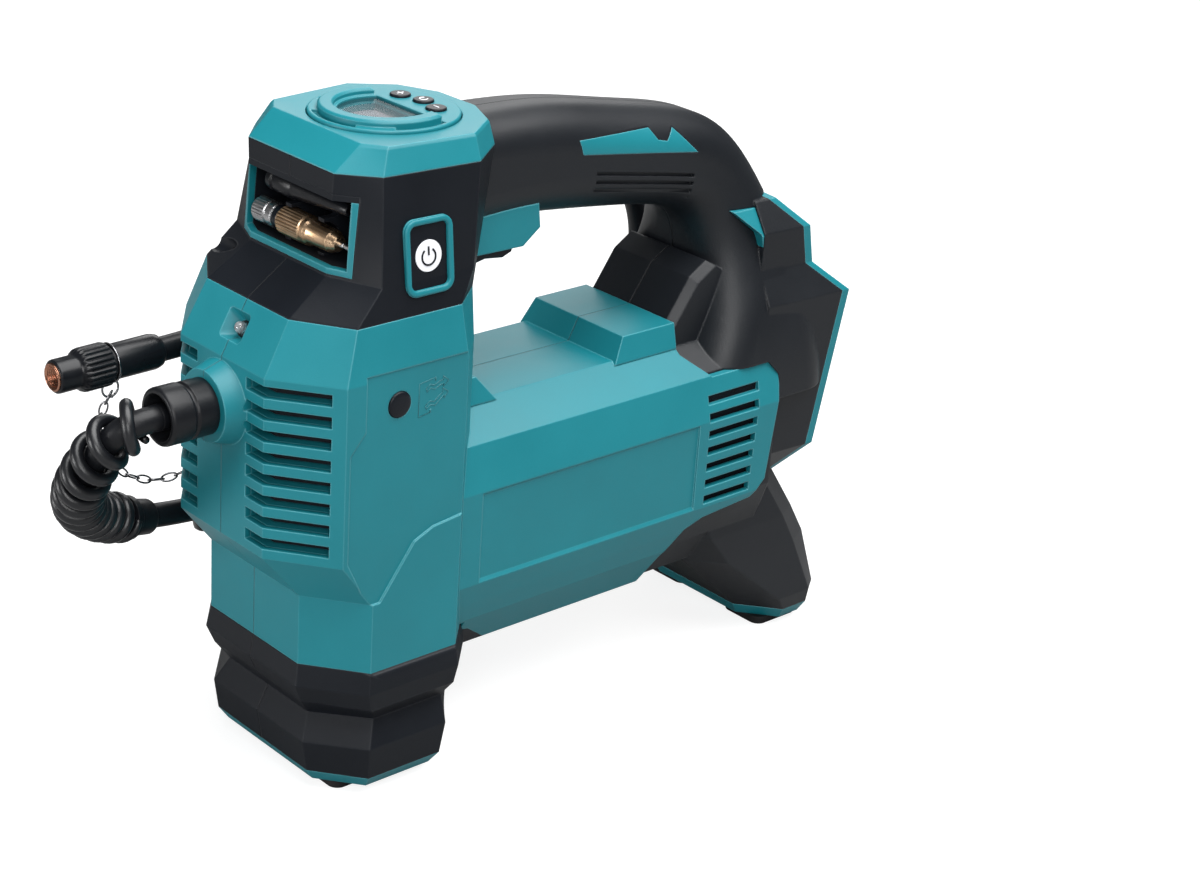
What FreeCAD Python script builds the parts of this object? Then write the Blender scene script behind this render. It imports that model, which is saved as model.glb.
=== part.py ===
import FreeCAD, Part
import math
import os

# Portable tyre inflator. Millimetres. x runs from the chest at the front to the battery end,
# y is zero on the mould split and negative on the power key's side, z is up from the ground.
os.makedirs("parts", exist_ok=True)
V = FreeCAD.Vector

# Housing
wall = 2.4
column_half = 46.0
column_rear_x = 80.0
column_rear_half = 33.0
chest_front_half = 24.0
chest_side_x = 17.0
column_side_rear_x = 67.0
chest_low_z = 94.0
chest_high_z = 158.0
plinth_z = 77.0
plinth_front_x = 14.0
plinth_side_x = 30.0
foot_top_z = 51.0
skirt_z = 47.0
head_z = 176.0
head_front_x = 10.0
neck_z = 187.0
neck_front_x = 26.0
neck_half = 40.5
head_rear_x = 88.0
cap_z = 222.0
cap_top_z = 230.5
cap_front_x = 26.5
cap_rear_x = 98.0
cap_half = 38.0
barrel_step = 4.0
barrel_half = column_half - barrel_step
barrel_top_z = 130.0
barrel_bottom_z = 37.0
barrel_end_x = 226.0
hump_z = 138.5
hump_half = 24.0
hump_x = 158.5
step_length = 9.5
side_recess = 0.8
barrel_groove = 0.8
cover_recess = 1.8

# Vents, light and accessory bay
chest_vents = 8
chest_vent_pitch = 7.7
chest_vent_height = 4.2
rear_vents = 7
rear_vent_pitch = 6.6
rear_vent_height = 3.4
rear_vent_x = (189.0, 214.0)
led_radius = 2.0
bay_half = 28.0
bay_low_z = 190.0
bay_high_z = 213.0
bay_depth_x = 46.0
tray_wall = 2.0
adapter_x = 33.0
adapter_z = 196.0
adapter_radius = 5.0
nozzle_x = 36.0
nozzle_z = 207.0
nozzle_radius = 4.2

# Handle, battery end and feet
grip_width = 36.0
frame_half = 38.0
frame_depth = 3.5
frame_rim = 4.5
receptacle_depth = 22.0
front_foot_half = 47.0
rear_foot_half = 39.0
foot_rear_x = 264.5
rim_low_z = 3.0
rim_high_z = 8.0

# Display
dial_x = 64.5
dial_radius = 25.6
dial_gap = 0.4
dial_high = 1.2
dial_groove = 1.2
window_radius = 15.8
window_cut_x = 72.0
button_radius = 3.6
button_travel = 0.8

# Keys, release button and trigger
key_x = 53.0
key_z = 194.5
key_size = (15.0, 21.0)
key_border = 2.2
key_travel = 0.8
release_x = 39.0
release_z = 147.5
release_radius = 4.7
release_travel = 2.0
trigger_half = 9.5
trigger_pivot = (89.0, 176.5)
trigger_pin_radius = 1.6
running_clearance = 0.05
free_clearance = 0.2

# Hose and what is on it
hose_radius = 4.5
hose_sides = 12
guard_sides = 8
chain_sides = 8
outlet_z = 142.0
boss_radius = 15.0
boss_length = 7.0
sleeve_radius = 10.0
sleeve_length = 18.0
guard_wire_radius = 2.2
guard_open_turns = 4
guard_open_pitch = 8.8
guard_close_turns = 9
guard_close_pitch = 6.9
guard_gap = 0.35
collar_radius = 6.6
collar_length = 12.0
collar_clearance = 0.8
fitting_radius = 6.3
fitting_length = 21.0
nut_radius = 7.7
nut_length = 12.0
nut_front_radius = 6.0
nut_front_length = 9.0
thread_radius = 4.1
thread_wall = 0.9
thread_length = 12.0
clip_clearance = 0.15
clip_width = 14.0
chain_radius = 1.1

# Clamp chuck on its peg
chuck_x = 40.0
chuck_z = 122.0
chuck_radius = 10.0
peg_radius = 3.9
chuck_pin_drop = 17.0
chuck_pin_reach = 14.5
chuck_pin_radius = 1.3
lever_heel_rise = 3.4
lever_heel_depth = 5.6
lever_clearance = 0.4

# Air pump and motor
motor_z = 66.0
motor_radius = 19.0
motor_x = (100.0, 160.0)
bulkhead_x = (88.0, 92.0)
fan_x = (168.0, 179.0)
fan_radius = 24.0
fan_blades = 9
shaft_radius = 2.5
gear_module = 0.8
pinion_teeth = 12
gear_teeth = 48
gear_x = (79.0, 85.0)
gear_shaft_radius = 4.0
crank_radius = 8.0
crank_pin_radius = 3.0
crank_gap = 0.3
rod_x = (58.0, 64.0)
rod_length = 30.0
gudgeon_radius = 2.5
bore_radius = 13.0
cylinder_wall = 3.0
crown_height = 7.0
skirt_height = 5.0
head_clearance = 1.0

# Housing screws: x, z and how far the seat of the head lies from the split
screw_places = [(130, 206, 7), (179, 187, 7), (201, 133, 14), (105, 42.3, 9), (242, 17, 20), (69, 169, 16),
                (25, 181, 14)]
screw_radius = 1.5
screw_head_radius = 2.9
screw_head_height = 2.2
screw_well_radius = 3.3
screw_post_radius = 4.6
screw_grip = 6.0

far = 400.0


def prism(points, axis, low, high):
    """A closed outline in the plane across the axis, extruded from low to high."""
    place = {"x": lambda a, b: V(low, a, b),
             "y": lambda a, b: V(a, low, b),
             "z": lambda a, b: V(a, b, low)}
    along = {"x": V(high - low, 0, 0), "y": V(0, high - low, 0), "z": V(0, 0, high - low)}
    corners = [place[axis](a, b) for a, b in points]
    return Part.Face(Part.makePolygon(corners + corners[:1])).extrude(along[axis])


def block(x0, x1, y0, y1, z0, z1):
    return Part.makeBox(x1 - x0, y1 - y0, z1 - z0, V(x0, y0, z0))


def rod(start, end, radius):
    """A round bar from one point to another."""
    return Part.makeCylinder(radius, (end - start).Length, start, end - start)


def cone(start, end, radius_start, radius_end):
    return Part.makeCone(radius_start, radius_end, (end - start).Length, start, end - start)


def ring(start, end, outer, inner):
    return rod(start, end, outer).cut(rod(start, end, inner))


def fuse(shapes):
    whole = shapes[0]
    for shape in shapes[1:]:
        whole = whole.fuse(shape)
    return whole.removeSplitter()


def mirrored(shape):
    """The same shape on the other side of the mould split."""
    return shape.mirror(V(0, 0, 0), V(0, 1, 0))


def both(shape):
    return [shape, mirrored(shape)]


def stack(levels):
    """A solid with flat facets through outlines at rising heights."""
    wires = []
    for z, outline in levels:
        corners = [V(x, y, z) for x, y in outline]
        wires.append(Part.makePolygon(corners + corners[:1]))
    return Part.makeLoft(wires, True, True)


def plan(near):
    """A closed outline seen from above, from the points of one side, front to rear."""
    return [(x, -y) for x, y in near] + [(x, y) for x, y in reversed(near)]


def octagon(front, front_half, side_front, side_half, side_rear, rear, rear_half):
    return plan([(front, front_half), (side_front, side_half), (side_rear, side_half), (rear, rear_half)])


def symmetric(half):
    """A closed outline across the split from the points of its positive half."""
    return half + [(-a, b) for a, b in reversed(half) if a > 0]


def inset(points, distance):
    """The outline moved inwards by a distance, whichever way round it runs."""
    count = len(points)
    area = sum(points[i][0] * points[(i + 1) % count][1] - points[(i + 1) % count][0] * points[i][1]
               for i in range(count))
    turn = 1.0 if area > 0 else -1.0
    moved = []
    for i in range(count):
        before, here, after = points[i - 1], points[i], points[(i + 1) % count]
        first = (here[0] - before[0], here[1] - before[1])
        second = (after[0] - here[0], after[1] - here[1])
        first_length = math.hypot(*first)
        second_length = math.hypot(*second)
        normal_1 = (-first[1] / first_length * turn, first[0] / first_length * turn)
        normal_2 = (-second[1] / second_length * turn, second[0] / second_length * turn)
        scale = distance / (1.0 + normal_1[0] * normal_2[0] + normal_1[1] * normal_2[1])
        moved.append((here[0] + (normal_1[0] + normal_2[0]) * scale,
                      here[1] + (normal_1[1] + normal_2[1]) * scale))
    return moved


def rounded(centre, across, up, width, height, radius):
    """A rounded rectangle about a centre, in the plane of two unit vectors."""
    half_w = width / 2 - radius
    half_h = height / 2 - radius
    starts = [(1, 1), (-1, 1), (-1, -1), (1, -1)]
    edges = []
    for i, (a, b) in enumerate(starts):
        middle = centre + across * (a * half_w) + up * (b * half_h)
        side_point = middle + across * (a * radius)
        top_point = middle + up * (b * radius)
        start, end = (side_point, top_point) if a * b > 0 else (top_point, side_point)
        bend = middle + (across * a + up * b) * (radius / math.sqrt(2))
        edges.append(Part.Arc(start, bend, end).toShape())
        c, d = starts[(i + 1) % 4]
        next_middle = centre + across * (c * half_w) + up * (d * half_h)
        next_start = next_middle + (across * (c * radius) if c * d > 0 else up * (d * radius))
        edges.append(Part.LineSegment(end, next_start).toShape())
    return Part.Wire(edges)


def bent_path(points):
    """Straight runs joined by tangent arcs, each as large as its two runs allow, with the arcs' radii."""
    edges = []
    radii = []
    start = points[0]
    for before, here, after in zip(points, points[1:], points[2:]):
        run_in = here - before
        run_out = after - here
        turn = run_in.getAngle(run_out)
        reach = 0.45 * min(run_in.Length, run_out.Length)
        radius = reach / math.tan(turn / 2)
        arc_start = here - run_in.normalize() * reach
        arc_end = here + run_out.normalize() * reach
        chord_middle = (arc_start + arc_end) * 0.5
        inward = chord_middle - here
        depth = inward.Length
        centre_distance = math.hypot(reach, radius)
        bend = here + inward.normalize() * (centre_distance - radius)
        edges.append(Part.LineSegment(start, arc_start).toShape())
        edges.append(Part.Arc(arc_start, bend, arc_end).toShape())
        radii.append(radius)
        start = arc_end
    edges.append(Part.LineSegment(start, points[-1]).toShape())
    return Part.Wire(edges), radii


def point_on(path, length):
    """The point and direction at a length along a path."""
    for edge in path.OrderedEdges:
        if length <= edge.Length or edge.isSame(path.OrderedEdges[-1]):
            at = edge.getParameterByLength(min(length, edge.Length))
            return edge.valueAt(at), edge.tangentAt(at)
        length -= edge.Length


def tube(path, radius, sides):
    """A tube along a path that starts straight, with flat sides whose section has the round one's area."""
    start, along = point_on(path, 0)
    up = along.cross(V(0, 1, 0.01)).normalize()
    across = along.cross(up)
    reach = radius * math.sqrt(2 * math.pi / (sides * math.sin(2 * math.pi / sides)))
    corners = []
    for i in range(sides):
        angle = 2 * math.pi * i / sides
        corners.append(start + (up * math.cos(angle) + across * math.sin(angle)) * reach)
    return path.makePipeShell([Part.makePolygon(corners + corners[:1])], True, False)


left_half = block(-far, far, -far, 0, -far, far)
right_half = block(-far, far, 0, far, -far, far)
nodes = {}


# Outer forms of the housing

def column_form(depth=0.0):
    """The chest column, or its cavity drawn in by a depth."""
    plinth = octagon(plinth_front_x, chest_front_half + 2, plinth_side_x, column_half,
                     column_side_rear_x, column_rear_x, column_rear_half)
    chest = octagon(0, chest_front_half, chest_side_x, column_half,
                    column_side_rear_x, column_rear_x, column_rear_half)
    top = octagon(head_front_x, chest_front_half - 1, head_front_x + 13, column_half - 3.5,
                  column_side_rear_x - 1, column_rear_x, column_rear_half - 2)
    levels = [(foot_top_z + depth, plinth), (plinth_z, plinth), (chest_low_z, chest), (chest_high_z, chest),
              (head_z, top)]
    return stack([(z, inset(outline, depth)) for z, outline in levels])


def head_form(depth=0.0):
    """The black head, flared out at the bottom to meet the column."""
    low = plan([(head_front_x, chest_front_half - 1), (head_front_x + 13, column_half - 3.5),
                (column_side_rear_x - 1, column_half - 3.5), (column_rear_x, column_rear_half - 2),
                (column_rear_x, tail_half)])
    neck = plan([(neck_front_x, 21), (neck_front_x + 8, neck_half), (72, neck_half), (head_rear_x, 24),
                 (head_rear_x, tail_half)])
    levels = [(head_z, low), (neck_z, neck), (cap_z, cap_low)]
    return stack([(z, inset(outline, depth)) for z, outline in levels])


tail_half = 10.0
cap_low = plan([(cap_front_x, 23.5), (cap_front_x + 11, cap_half - 3), (cap_rear_x - 23, cap_half),
                (cap_rear_x - 7, cap_half - 12), (cap_rear_x, tail_half)])
cap_crest = plan([(cap_front_x + 9, 24), (cap_front_x + 14.8, cap_half - 6.2), (cap_rear_x - 23, cap_half - 3),
                  (cap_rear_x - 8.5, cap_half - 13.5), (cap_rear_x - 1.6, tail_half)])
cap_high = plan([(cap_front_x + 10.2, 23.8), (cap_front_x + 15.6, cap_half - 6.8),
                 (cap_rear_x - 23, cap_half - 3.8), (cap_rear_x - 9, cap_half - 14),
                 (cap_rear_x - 2.4, tail_half - 0.4)])
cap_form = stack([(cap_z, cap_low), (cap_top_z - 0.9, cap_crest), (cap_top_z, cap_high)])

hump_end_x = 184.0
barrel_section = symmetric([(0, barrel_bottom_z), (barrel_half - 15, barrel_bottom_z), (barrel_half - 6, 52),
                            (barrel_half - 3, 60), (barrel_half, 69), (barrel_half, 104),
                            (barrel_half - 4, barrel_top_z - 9.5), (barrel_half - 18, barrel_top_z),
                            (0, barrel_top_z)])
barrel_start_x = column_rear_x - 20
barrel_form = prism(barrel_section, "x", barrel_start_x, barrel_end_x)
barrel_form = barrel_form.cut(block(0, column_rear_x, -far, far, 0, foot_top_z))
cover_section = inset(barrel_section, cover_recess)
cover_form = prism(cover_section, "x", hump_end_x - 12, barrel_end_x)
cover_cavity = prism(inset(cover_section, wall), "x", barrel_start_x - 1, barrel_end_x - 12)
for side in (-1, 1):
    face = side * barrel_half
    groove = prism([(face - side * barrel_groove, 70.5), (face + side, 68), (face + side, 105),
                    (face - side * barrel_groove, 102.5)], "x", column_rear_x, rear_vent_x[0] - 5)
    barrel_form = barrel_form.cut(groove)
barrel_cavity = prism(inset(barrel_section, wall), "x", barrel_start_x - 1, barrel_end_x - wall)

# The side outline where the teal shells end and the black rear covers start
teal_edge = [(-far, -far), (hump_end_x - 12, -far), (hump_end_x - 12, barrel_bottom_z), (hump_end_x - 8.5, 50),
             (hump_end_x - 1, 60.5), (191, 64), (215, 66.5), (221.5, 73), (barrel_end_x, 110),
             (barrel_end_x, 114), (220.5, 120), (192, 120), (hump_end_x, 127), (hump_end_x, far), (-far, far)]
teal_region = prism(teal_edge, "y", -far, far)

raised_section = [(hump_half + 2.5, barrel_top_z - 2), (hump_half, hump_z), (-hump_half, hump_z),
                  (-hump_half - 2.5, barrel_top_z - 2)]


def raised(outline):
    """A raised part of the barrel's top, from its side outline."""
    return prism(outline, "y", -far, far).common(prism(raised_section, "x", 0, far))


hump = raised([(hump_x - 5, barrel_top_z - 1), (hump_x, hump_z), (hump_end_x, hump_z),
               (hump_end_x, barrel_top_z - 1)])
step = raised([(column_rear_x - 3, barrel_top_z - 1), (column_rear_x - 3, hump_z),
               (column_rear_x + step_length, hump_z), (column_rear_x + step_length + 8, barrel_top_z - 1)])
skirt = prism(octagon(plinth_front_x, chest_front_half + 2, plinth_side_x, column_half,
                      column_side_rear_x, column_rear_x, column_rear_half), "z", skirt_z, foot_top_z)
skirt = skirt.common(prism([(plinth_side_x - 1, foot_top_z), (plinth_side_x + 5, skirt_z), (far, skirt_z),
                            (far, foot_top_z)], "y", -far, far))
boss = cone(V(4, 0, outlet_z), V(-boss_length, 0, outlet_z), boss_radius + 1, boss_radius - 2.5)

column_outer = column_form()
head_outer = head_form()
for side in (-1, 1):
    face = side * column_half
    side_outline = [(25, 160), (68, 160), (68, 101), (55, 99.5), (47, 96), (33, plinth_z), (28, plinth_z),
                    (19, chest_low_z + 1), (19, 134), (25, 141)]
    column_outer = column_outer.cut(prism(side_outline, "y", face - side * side_recess, face + side))

# Handle: rounded sections along its line, leaning down towards the battery end
handle_line = [(82, 208.5, 3, grip_width + 3, 42, 13), (115, 207, 5, grip_width + 1, 39, 14),
               (150, 203, 8, grip_width, 38.5, 15), (178, 198.5, 13, grip_width, 37, 15),
               (206, 189.5, 33, grip_width + 3, 36, 15), (219, 172, 62, grip_width + 11, 36, 15),
               (226, 146, 84, grip_width + 29, 46, 16), (226, 122, 90, grip_width + 42, 62, 17),
               (226, 104, 90, grip_width + 45, 66, 17)]


def handle_section(x, z, lean, width, height, radius):
    up = V(math.sin(math.radians(lean)), 0, math.cos(math.radians(lean)))
    return rounded(V(x, 0, z), V(0, 1, 0), up, width, height, radius)


handle_form = Part.makeLoft([handle_section(*values) for values in handle_line], True, False)

# Battery end: the frame's side outline, and its outline from behind
rear_outline = [(229, 181), (245, 167), (248, 152), (263, 140), (255, 77), (244, 64)]
frame_outline = symmetric([(0, 64), (25, 64), (frame_half - 3, 77), (frame_half, 140), (frame_half - 6, 152),
                           (frame_half - 6, 167), (frame_half - 13, 178), (0, 181)])
handle_root = prism([(hump_end_x, 122), (hump_end_x, hump_z), (194, 153), (202, 158), (214, 150), (214, 122)],
                    "y", -hump_half + 1, hump_half - 1)
handle_root = handle_root.makeChamfer(3.0, [edge for edge in handle_root.Edges
                                            if abs(edge.CenterOfMass.y) > 10 and edge.CenterOfMass.z > hump_z
                                            and edge.CenterOfMass.x < 200])


def before_face(shift):
    """All that lies in front of the battery frame's face moved by a shift."""
    face = [(x + shift, z) for x, z in reversed(rear_outline)]
    return prism([(190, 50)] + face + [(190, 195)], "y", -far, far)


frame_near = [V(200, y * 0.9, z) for y, z in frame_outline]
frame_back = [V(foot_rear_x, y, z) for y, z in frame_outline]
frame_taper = Part.makeLoft([Part.makePolygon(frame_near + frame_near[:1]),
                             Part.makePolygon(frame_back + frame_back[:1])], True, True)
frame_solid = frame_taper.common(block(222, foot_rear_x, -far, far, 0, far)).common(before_face(0))
receptacle = prism(inset(frame_outline, frame_rim), "x", 190, far).cut(before_face(-receptacle_depth))
liner = prism(inset(frame_outline, frame_rim - 2), "x", 190, far).cut(before_face(-receptacle_depth - 2))
frame_space = liner.fuse(prism(frame_outline, "x", 190, far).cut(before_face(-frame_depth)))

rear_rim_high = octagon(foot_rear_x - 33, rear_foot_half - 16, foot_rear_x - 20, rear_foot_half - 1,
                        foot_rear_x - 7, foot_rear_x - 1, rear_foot_half - 6)
rear_foot_form = stack([(66, octagon(188, 18, 198, rear_foot_half - 7, 232, foot_rear_x - 22, 26)),
                        (49, octagon(192, 22, 203, rear_foot_half - 4, 242, foot_rear_x - 12, 29)),
                        (37, octagon(199, 24, 212, rear_foot_half - 2.5, 248, foot_rear_x - 6, 31)),
                        (14, octagon(foot_rear_x - 39, rear_foot_half - 15, foot_rear_x - 24, rear_foot_half,
                                     foot_rear_x - 7, foot_rear_x, rear_foot_half - 5)),
                        (rim_high_z, rear_rim_high)])
front_rim_high = octagon(18, 27, 32, front_foot_half - 3, 63.5, 73, 30)
front_foot_form = stack([(foot_top_z, octagon(plinth_front_x, chest_front_half + 2, plinth_side_x, column_half,
                                              column_side_rear_x, column_rear_x, column_rear_half)),
                         (43, octagon(12.5, 27, 29, front_foot_half, 68, 82, 33)),
                         (36, octagon(15.5, 26, 31, front_foot_half - 1, 67, 80, 33)),
                         (29, octagon(20.5, 23.5, 36, front_foot_half - 6.5, 66, 77, 31)),
                         (20, octagon(16, 27, 31.5, front_foot_half - 2, 65, 75, 31)),
                         (rim_high_z, front_rim_high)])
rear_form = fuse([cover_form, handle_form, frame_solid, handle_root, rear_foot_form])
rear_form = rear_form.cut(teal_region.common(block(-far, far, -far, far, -far, 150)))
rear_form = rear_form.cut(fuse([column_form(), head_outer, cap_form]))
toe = prism([(80, barrel_bottom_z), (80, 47), (84, 46), (96, barrel_bottom_z)], "y", -far, far)
toe = toe.common(prism(barrel_section, "x", 70, 100))
shell_form = fuse([column_outer, barrel_form.common(teal_region), hump, step, boss, skirt])

# Accessory bay through the head's front
bay_outer = block(-5, bay_depth_x + tray_wall, -bay_half - tray_wall, bay_half + tray_wall,
                  bay_low_z - tray_wall, bay_high_z + tray_wall)
bay_inner = block(-6, bay_depth_x, -bay_half, bay_half, bay_low_z, bay_high_z)


def chest_vent(z):
    """One slot that runs from the chest's front round its corner facet."""
    corner = V(chest_side_x, column_half, 0) - V(0, chest_front_half, 0)
    outward = V(-corner.y, corner.x, 0).normalize()
    along = corner * 0.82
    bottom = z - chest_vent_height / 2
    inner = wall + 2
    front = block(-1, inner, chest_front_half - 10, chest_front_half, bottom, bottom + chest_vent_height)
    start = V(0, chest_front_half, 0)
    outline = [start + outward * 1, start + along + outward * 1, start + along - outward * inner,
               start - outward * inner]
    facet = prism([(p.x, p.y) for p in outline], "z", bottom, bottom + chest_vent_height)
    return front.fuse(facet)


vents = []
for i in range(chest_vents):
    vents += both(chest_vent(chest_low_z + 5.5 + i * chest_vent_pitch))
rear_vent_mid_z = 92.0
for i in range(rear_vents):
    z = rear_vent_mid_z + (i - (rear_vents - 1) / 2) * rear_vent_pitch
    lean = (z - rear_vent_mid_z) * 0.06
    vents += both(block(rear_vent_x[0], rear_vent_x[1] + lean, barrel_half - wall - 1,
                        barrel_half + 1, z - rear_vent_height / 2, z + rear_vent_height / 2))

# Light in the facet above the hose's boss
facet_up = V(head_front_x, 0, head_z - chest_high_z).normalize()
facet_out = V(-facet_up.z, 0, facet_up.x)
led_point = V(0, 0, chest_high_z) + facet_up * 11.0
led_floor = led_point - facet_out * 4.5


def led_cup(spread, depth):
    mouth = rounded(led_point + facet_out, V(0, 1, 0), facet_up, 13 + spread, 11.5 + spread, 1.5)
    floor = rounded(led_point - facet_out * depth, V(0, 1, 0), facet_up, 5.5 + spread, 5.5 + spread, 1.5)
    return Part.makeLoft([mouth, floor], True, True)


led_cup_wall = led_cup(3.0, 6.5).common(column_form())
led_seat = rod(led_floor - facet_out * 2.5, led_floor + facet_out, led_radius)
led_body = fuse([rod(led_floor - facet_out * 2, led_floor + facet_out * 2.2, led_radius),
                 Part.makeSphere(led_radius, led_floor + facet_out * 2.2)])
nodes["led_lens"] = led_body

# Power key on the head's left side, with its border
key_inside_y = -neck_half + 6.0


def key_prism(grow, outer_y, inner_y):
    mid = V(key_x, outer_y, key_z)
    wire = rounded(mid, V(1, 0, 0), V(0, 0, 1), key_size[0] + 2 * grow, key_size[1] + 2 * grow, 2.0 + grow)
    return Part.Face(wire).extrude(V(0, inner_y - outer_y, 0))


key_frame_outer = key_prism(key_border, -neck_half - 6, key_inside_y).common(head_form(-0.5))
nodes["key_frame"] = key_frame_outer.cut(key_prism(free_clearance, -far, key_inside_y + 1))
nodes["power_key"] = key_prism(0, -neck_half - 6, key_inside_y).common(head_form(-0.2))

# Air release button and the valve behind it
release_outer_y = -column_half + side_recess
release_inner_y = release_outer_y + wall
release_valve_y = release_inner_y + 11.0
nodes["release_button"] = fuse([rod(V(release_x, release_outer_y - 0.7, release_z),
                                    V(release_x, release_inner_y + 5, release_z), release_radius - 0.4),
                                rod(V(release_x, release_outer_y - 0.4, release_z),
                                    V(release_x, release_inner_y + 5, release_z), release_radius)])
release_hole = rod(V(release_x, -far, release_z),
                   V(release_x, release_inner_y + 5 + release_travel + 0.5, release_z),
                   release_radius + running_clearance)
nodes["release_valve"] = rod(V(release_x, release_inner_y, release_z), V(release_x, release_valve_y, release_z),
                             release_radius + 2.4).cut(release_hole)

# Hose, its guard, its fitting and the chain
hose_y = column_half + 5.5
sleeve_end = V(-boss_length - sleeve_length, 0, outlet_z)
hose_points = [sleeve_end, V(-37, 0, 142), V(-47, 4, 136.5), V(-52.5, 12, 127), V(-52.5, 22.5, 114.5),
               V(-46.5, 33.5, 102), V(-34, 43, 90.5), V(-16, 49.5, 82), V(8, hose_y, 77), V(36, hose_y, 75.5),
               V(72, hose_y, 76.5), V(110, hose_y, 79), V(150, hose_y, 77.5),
               V(194, hose_y, 81.5), V(218, hose_y, 95), V(233.5, hose_y, 115), V(239, hose_y, 138),
               V(233, hose_y, 159.5), V(217, hose_y, 176), V(195, hose_y, 184.5), V(171, hose_y, 185.5),
               V(146, hose_y, 179.5), V(116, hose_y, 166.5), V(87, hose_y, 154.8), V(58, hose_y, 144.8),
               V(26, hose_y, 141.3), V(9, hose_y, 141)]
hose_path, hose_radii = bent_path(hose_points)
hose_clearance_form = tube(hose_path, hose_radius + clip_clearance, hose_sides)
nodes["hose"] = tube(hose_path, hose_radius, hose_sides)
print("hose length", round(hose_path.Length, 1), "radii", [round(r) for r in hose_radii])
print("hose volume over section times length",
      round(nodes["hose"].Volume / (math.pi * hose_radius ** 2 * hose_path.Length), 4))

sleeve_start = V(-boss_length, 0, outlet_z)
sleeve_groove = V(-boss_length - sleeve_length * 0.45, 0, outlet_z)
sleeve_rest = V(-boss_length - sleeve_length * 0.6, 0, outlet_z)
nodes["hose_sleeve"] = fuse([rod(sleeve_start, sleeve_groove, sleeve_radius),
                             rod(sleeve_groove, sleeve_rest, sleeve_radius - 0.8),
                             rod(sleeve_rest, sleeve_end, sleeve_radius)])

fitting_axis = (hose_points[-1] - hose_points[-2]).normalize()
fitting_start = hose_points[-1]
fitting_end = fitting_start + fitting_axis * fitting_length
nut_end = fitting_end + fitting_axis * nut_length
nut_front = nut_end + fitting_axis * nut_front_length
thread_end = nut_front + fitting_axis * 0.6
thread_start = thread_end - fitting_axis * thread_length
fitting_shoulder = fitting_start + fitting_axis * 2
nodes["hose_end_sleeve"] = fuse([cone(fitting_start, fitting_shoulder, hose_radius + 1, fitting_radius),
                                 rod(fitting_shoulder, fitting_end, fitting_radius)])
nut = fuse([rod(fitting_end, nut_end, nut_radius), cone(nut_end, nut_end + fitting_axis * 1.5, nut_radius - 0.4,
                                                        nut_front_radius),
            rod(nut_end, nut_front, nut_front_radius)])
nut_grips = 12
fitting_side = fitting_axis.cross(V(0, 1, 0)).normalize()
for i in range(nut_grips):
    angle = 2 * math.pi * i / nut_grips
    away = (V(0, 1, 0) * math.cos(angle) + fitting_side * math.sin(angle)) * (nut_radius + 0.35)
    nut = nut.cut(rod(fitting_end + fitting_axis * 2 + away, nut_end + fitting_axis * 2 + away, 1.1))
nodes["hose_nut"] = nut.cut(rod(thread_start, nut_front, thread_radius + thread_wall))
nodes["hose_thread"] = ring(thread_start, thread_end, thread_radius + thread_wall, thread_radius)


def biarc(start, start_along, end, end_along):
    """Two arcs that leave the start and reach the end along the given directions."""
    across = end - start
    total = start_along + end_along
    bend = 2 * (1 - start_along.dot(end_along))
    reach = (-across.dot(total) + math.sqrt(across.dot(total) ** 2 + bend * across.dot(across))) / bend
    near = start + start_along * reach
    distant = end - end_along * reach
    joint = (near + distant) * 0.5
    arcs = []
    for first, corner, last in ((start, near, joint), (joint, distant, end)):
        turn = (corner - first).getAngle(last - corner)
        middle = (first + last) * 0.5
        bulge = (corner - middle) * (math.tan(turn / 4) / math.tan(turn / 2))
        arcs.append(Part.Arc(first, middle + bulge, last).toShape())
    return arcs


def carried_frames(path, reach, stride):
    """Points along a path with their directions and a side that turns no more than the path does."""
    frames = []
    side = V(0, 0, -1)
    for i in range(int(reach / stride) + 2):
        point, along = point_on(path, i * stride)
        side = (side - along * side.dot(along)).normalize()
        frames.append((point, along, V(side)))
    return frames


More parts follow.
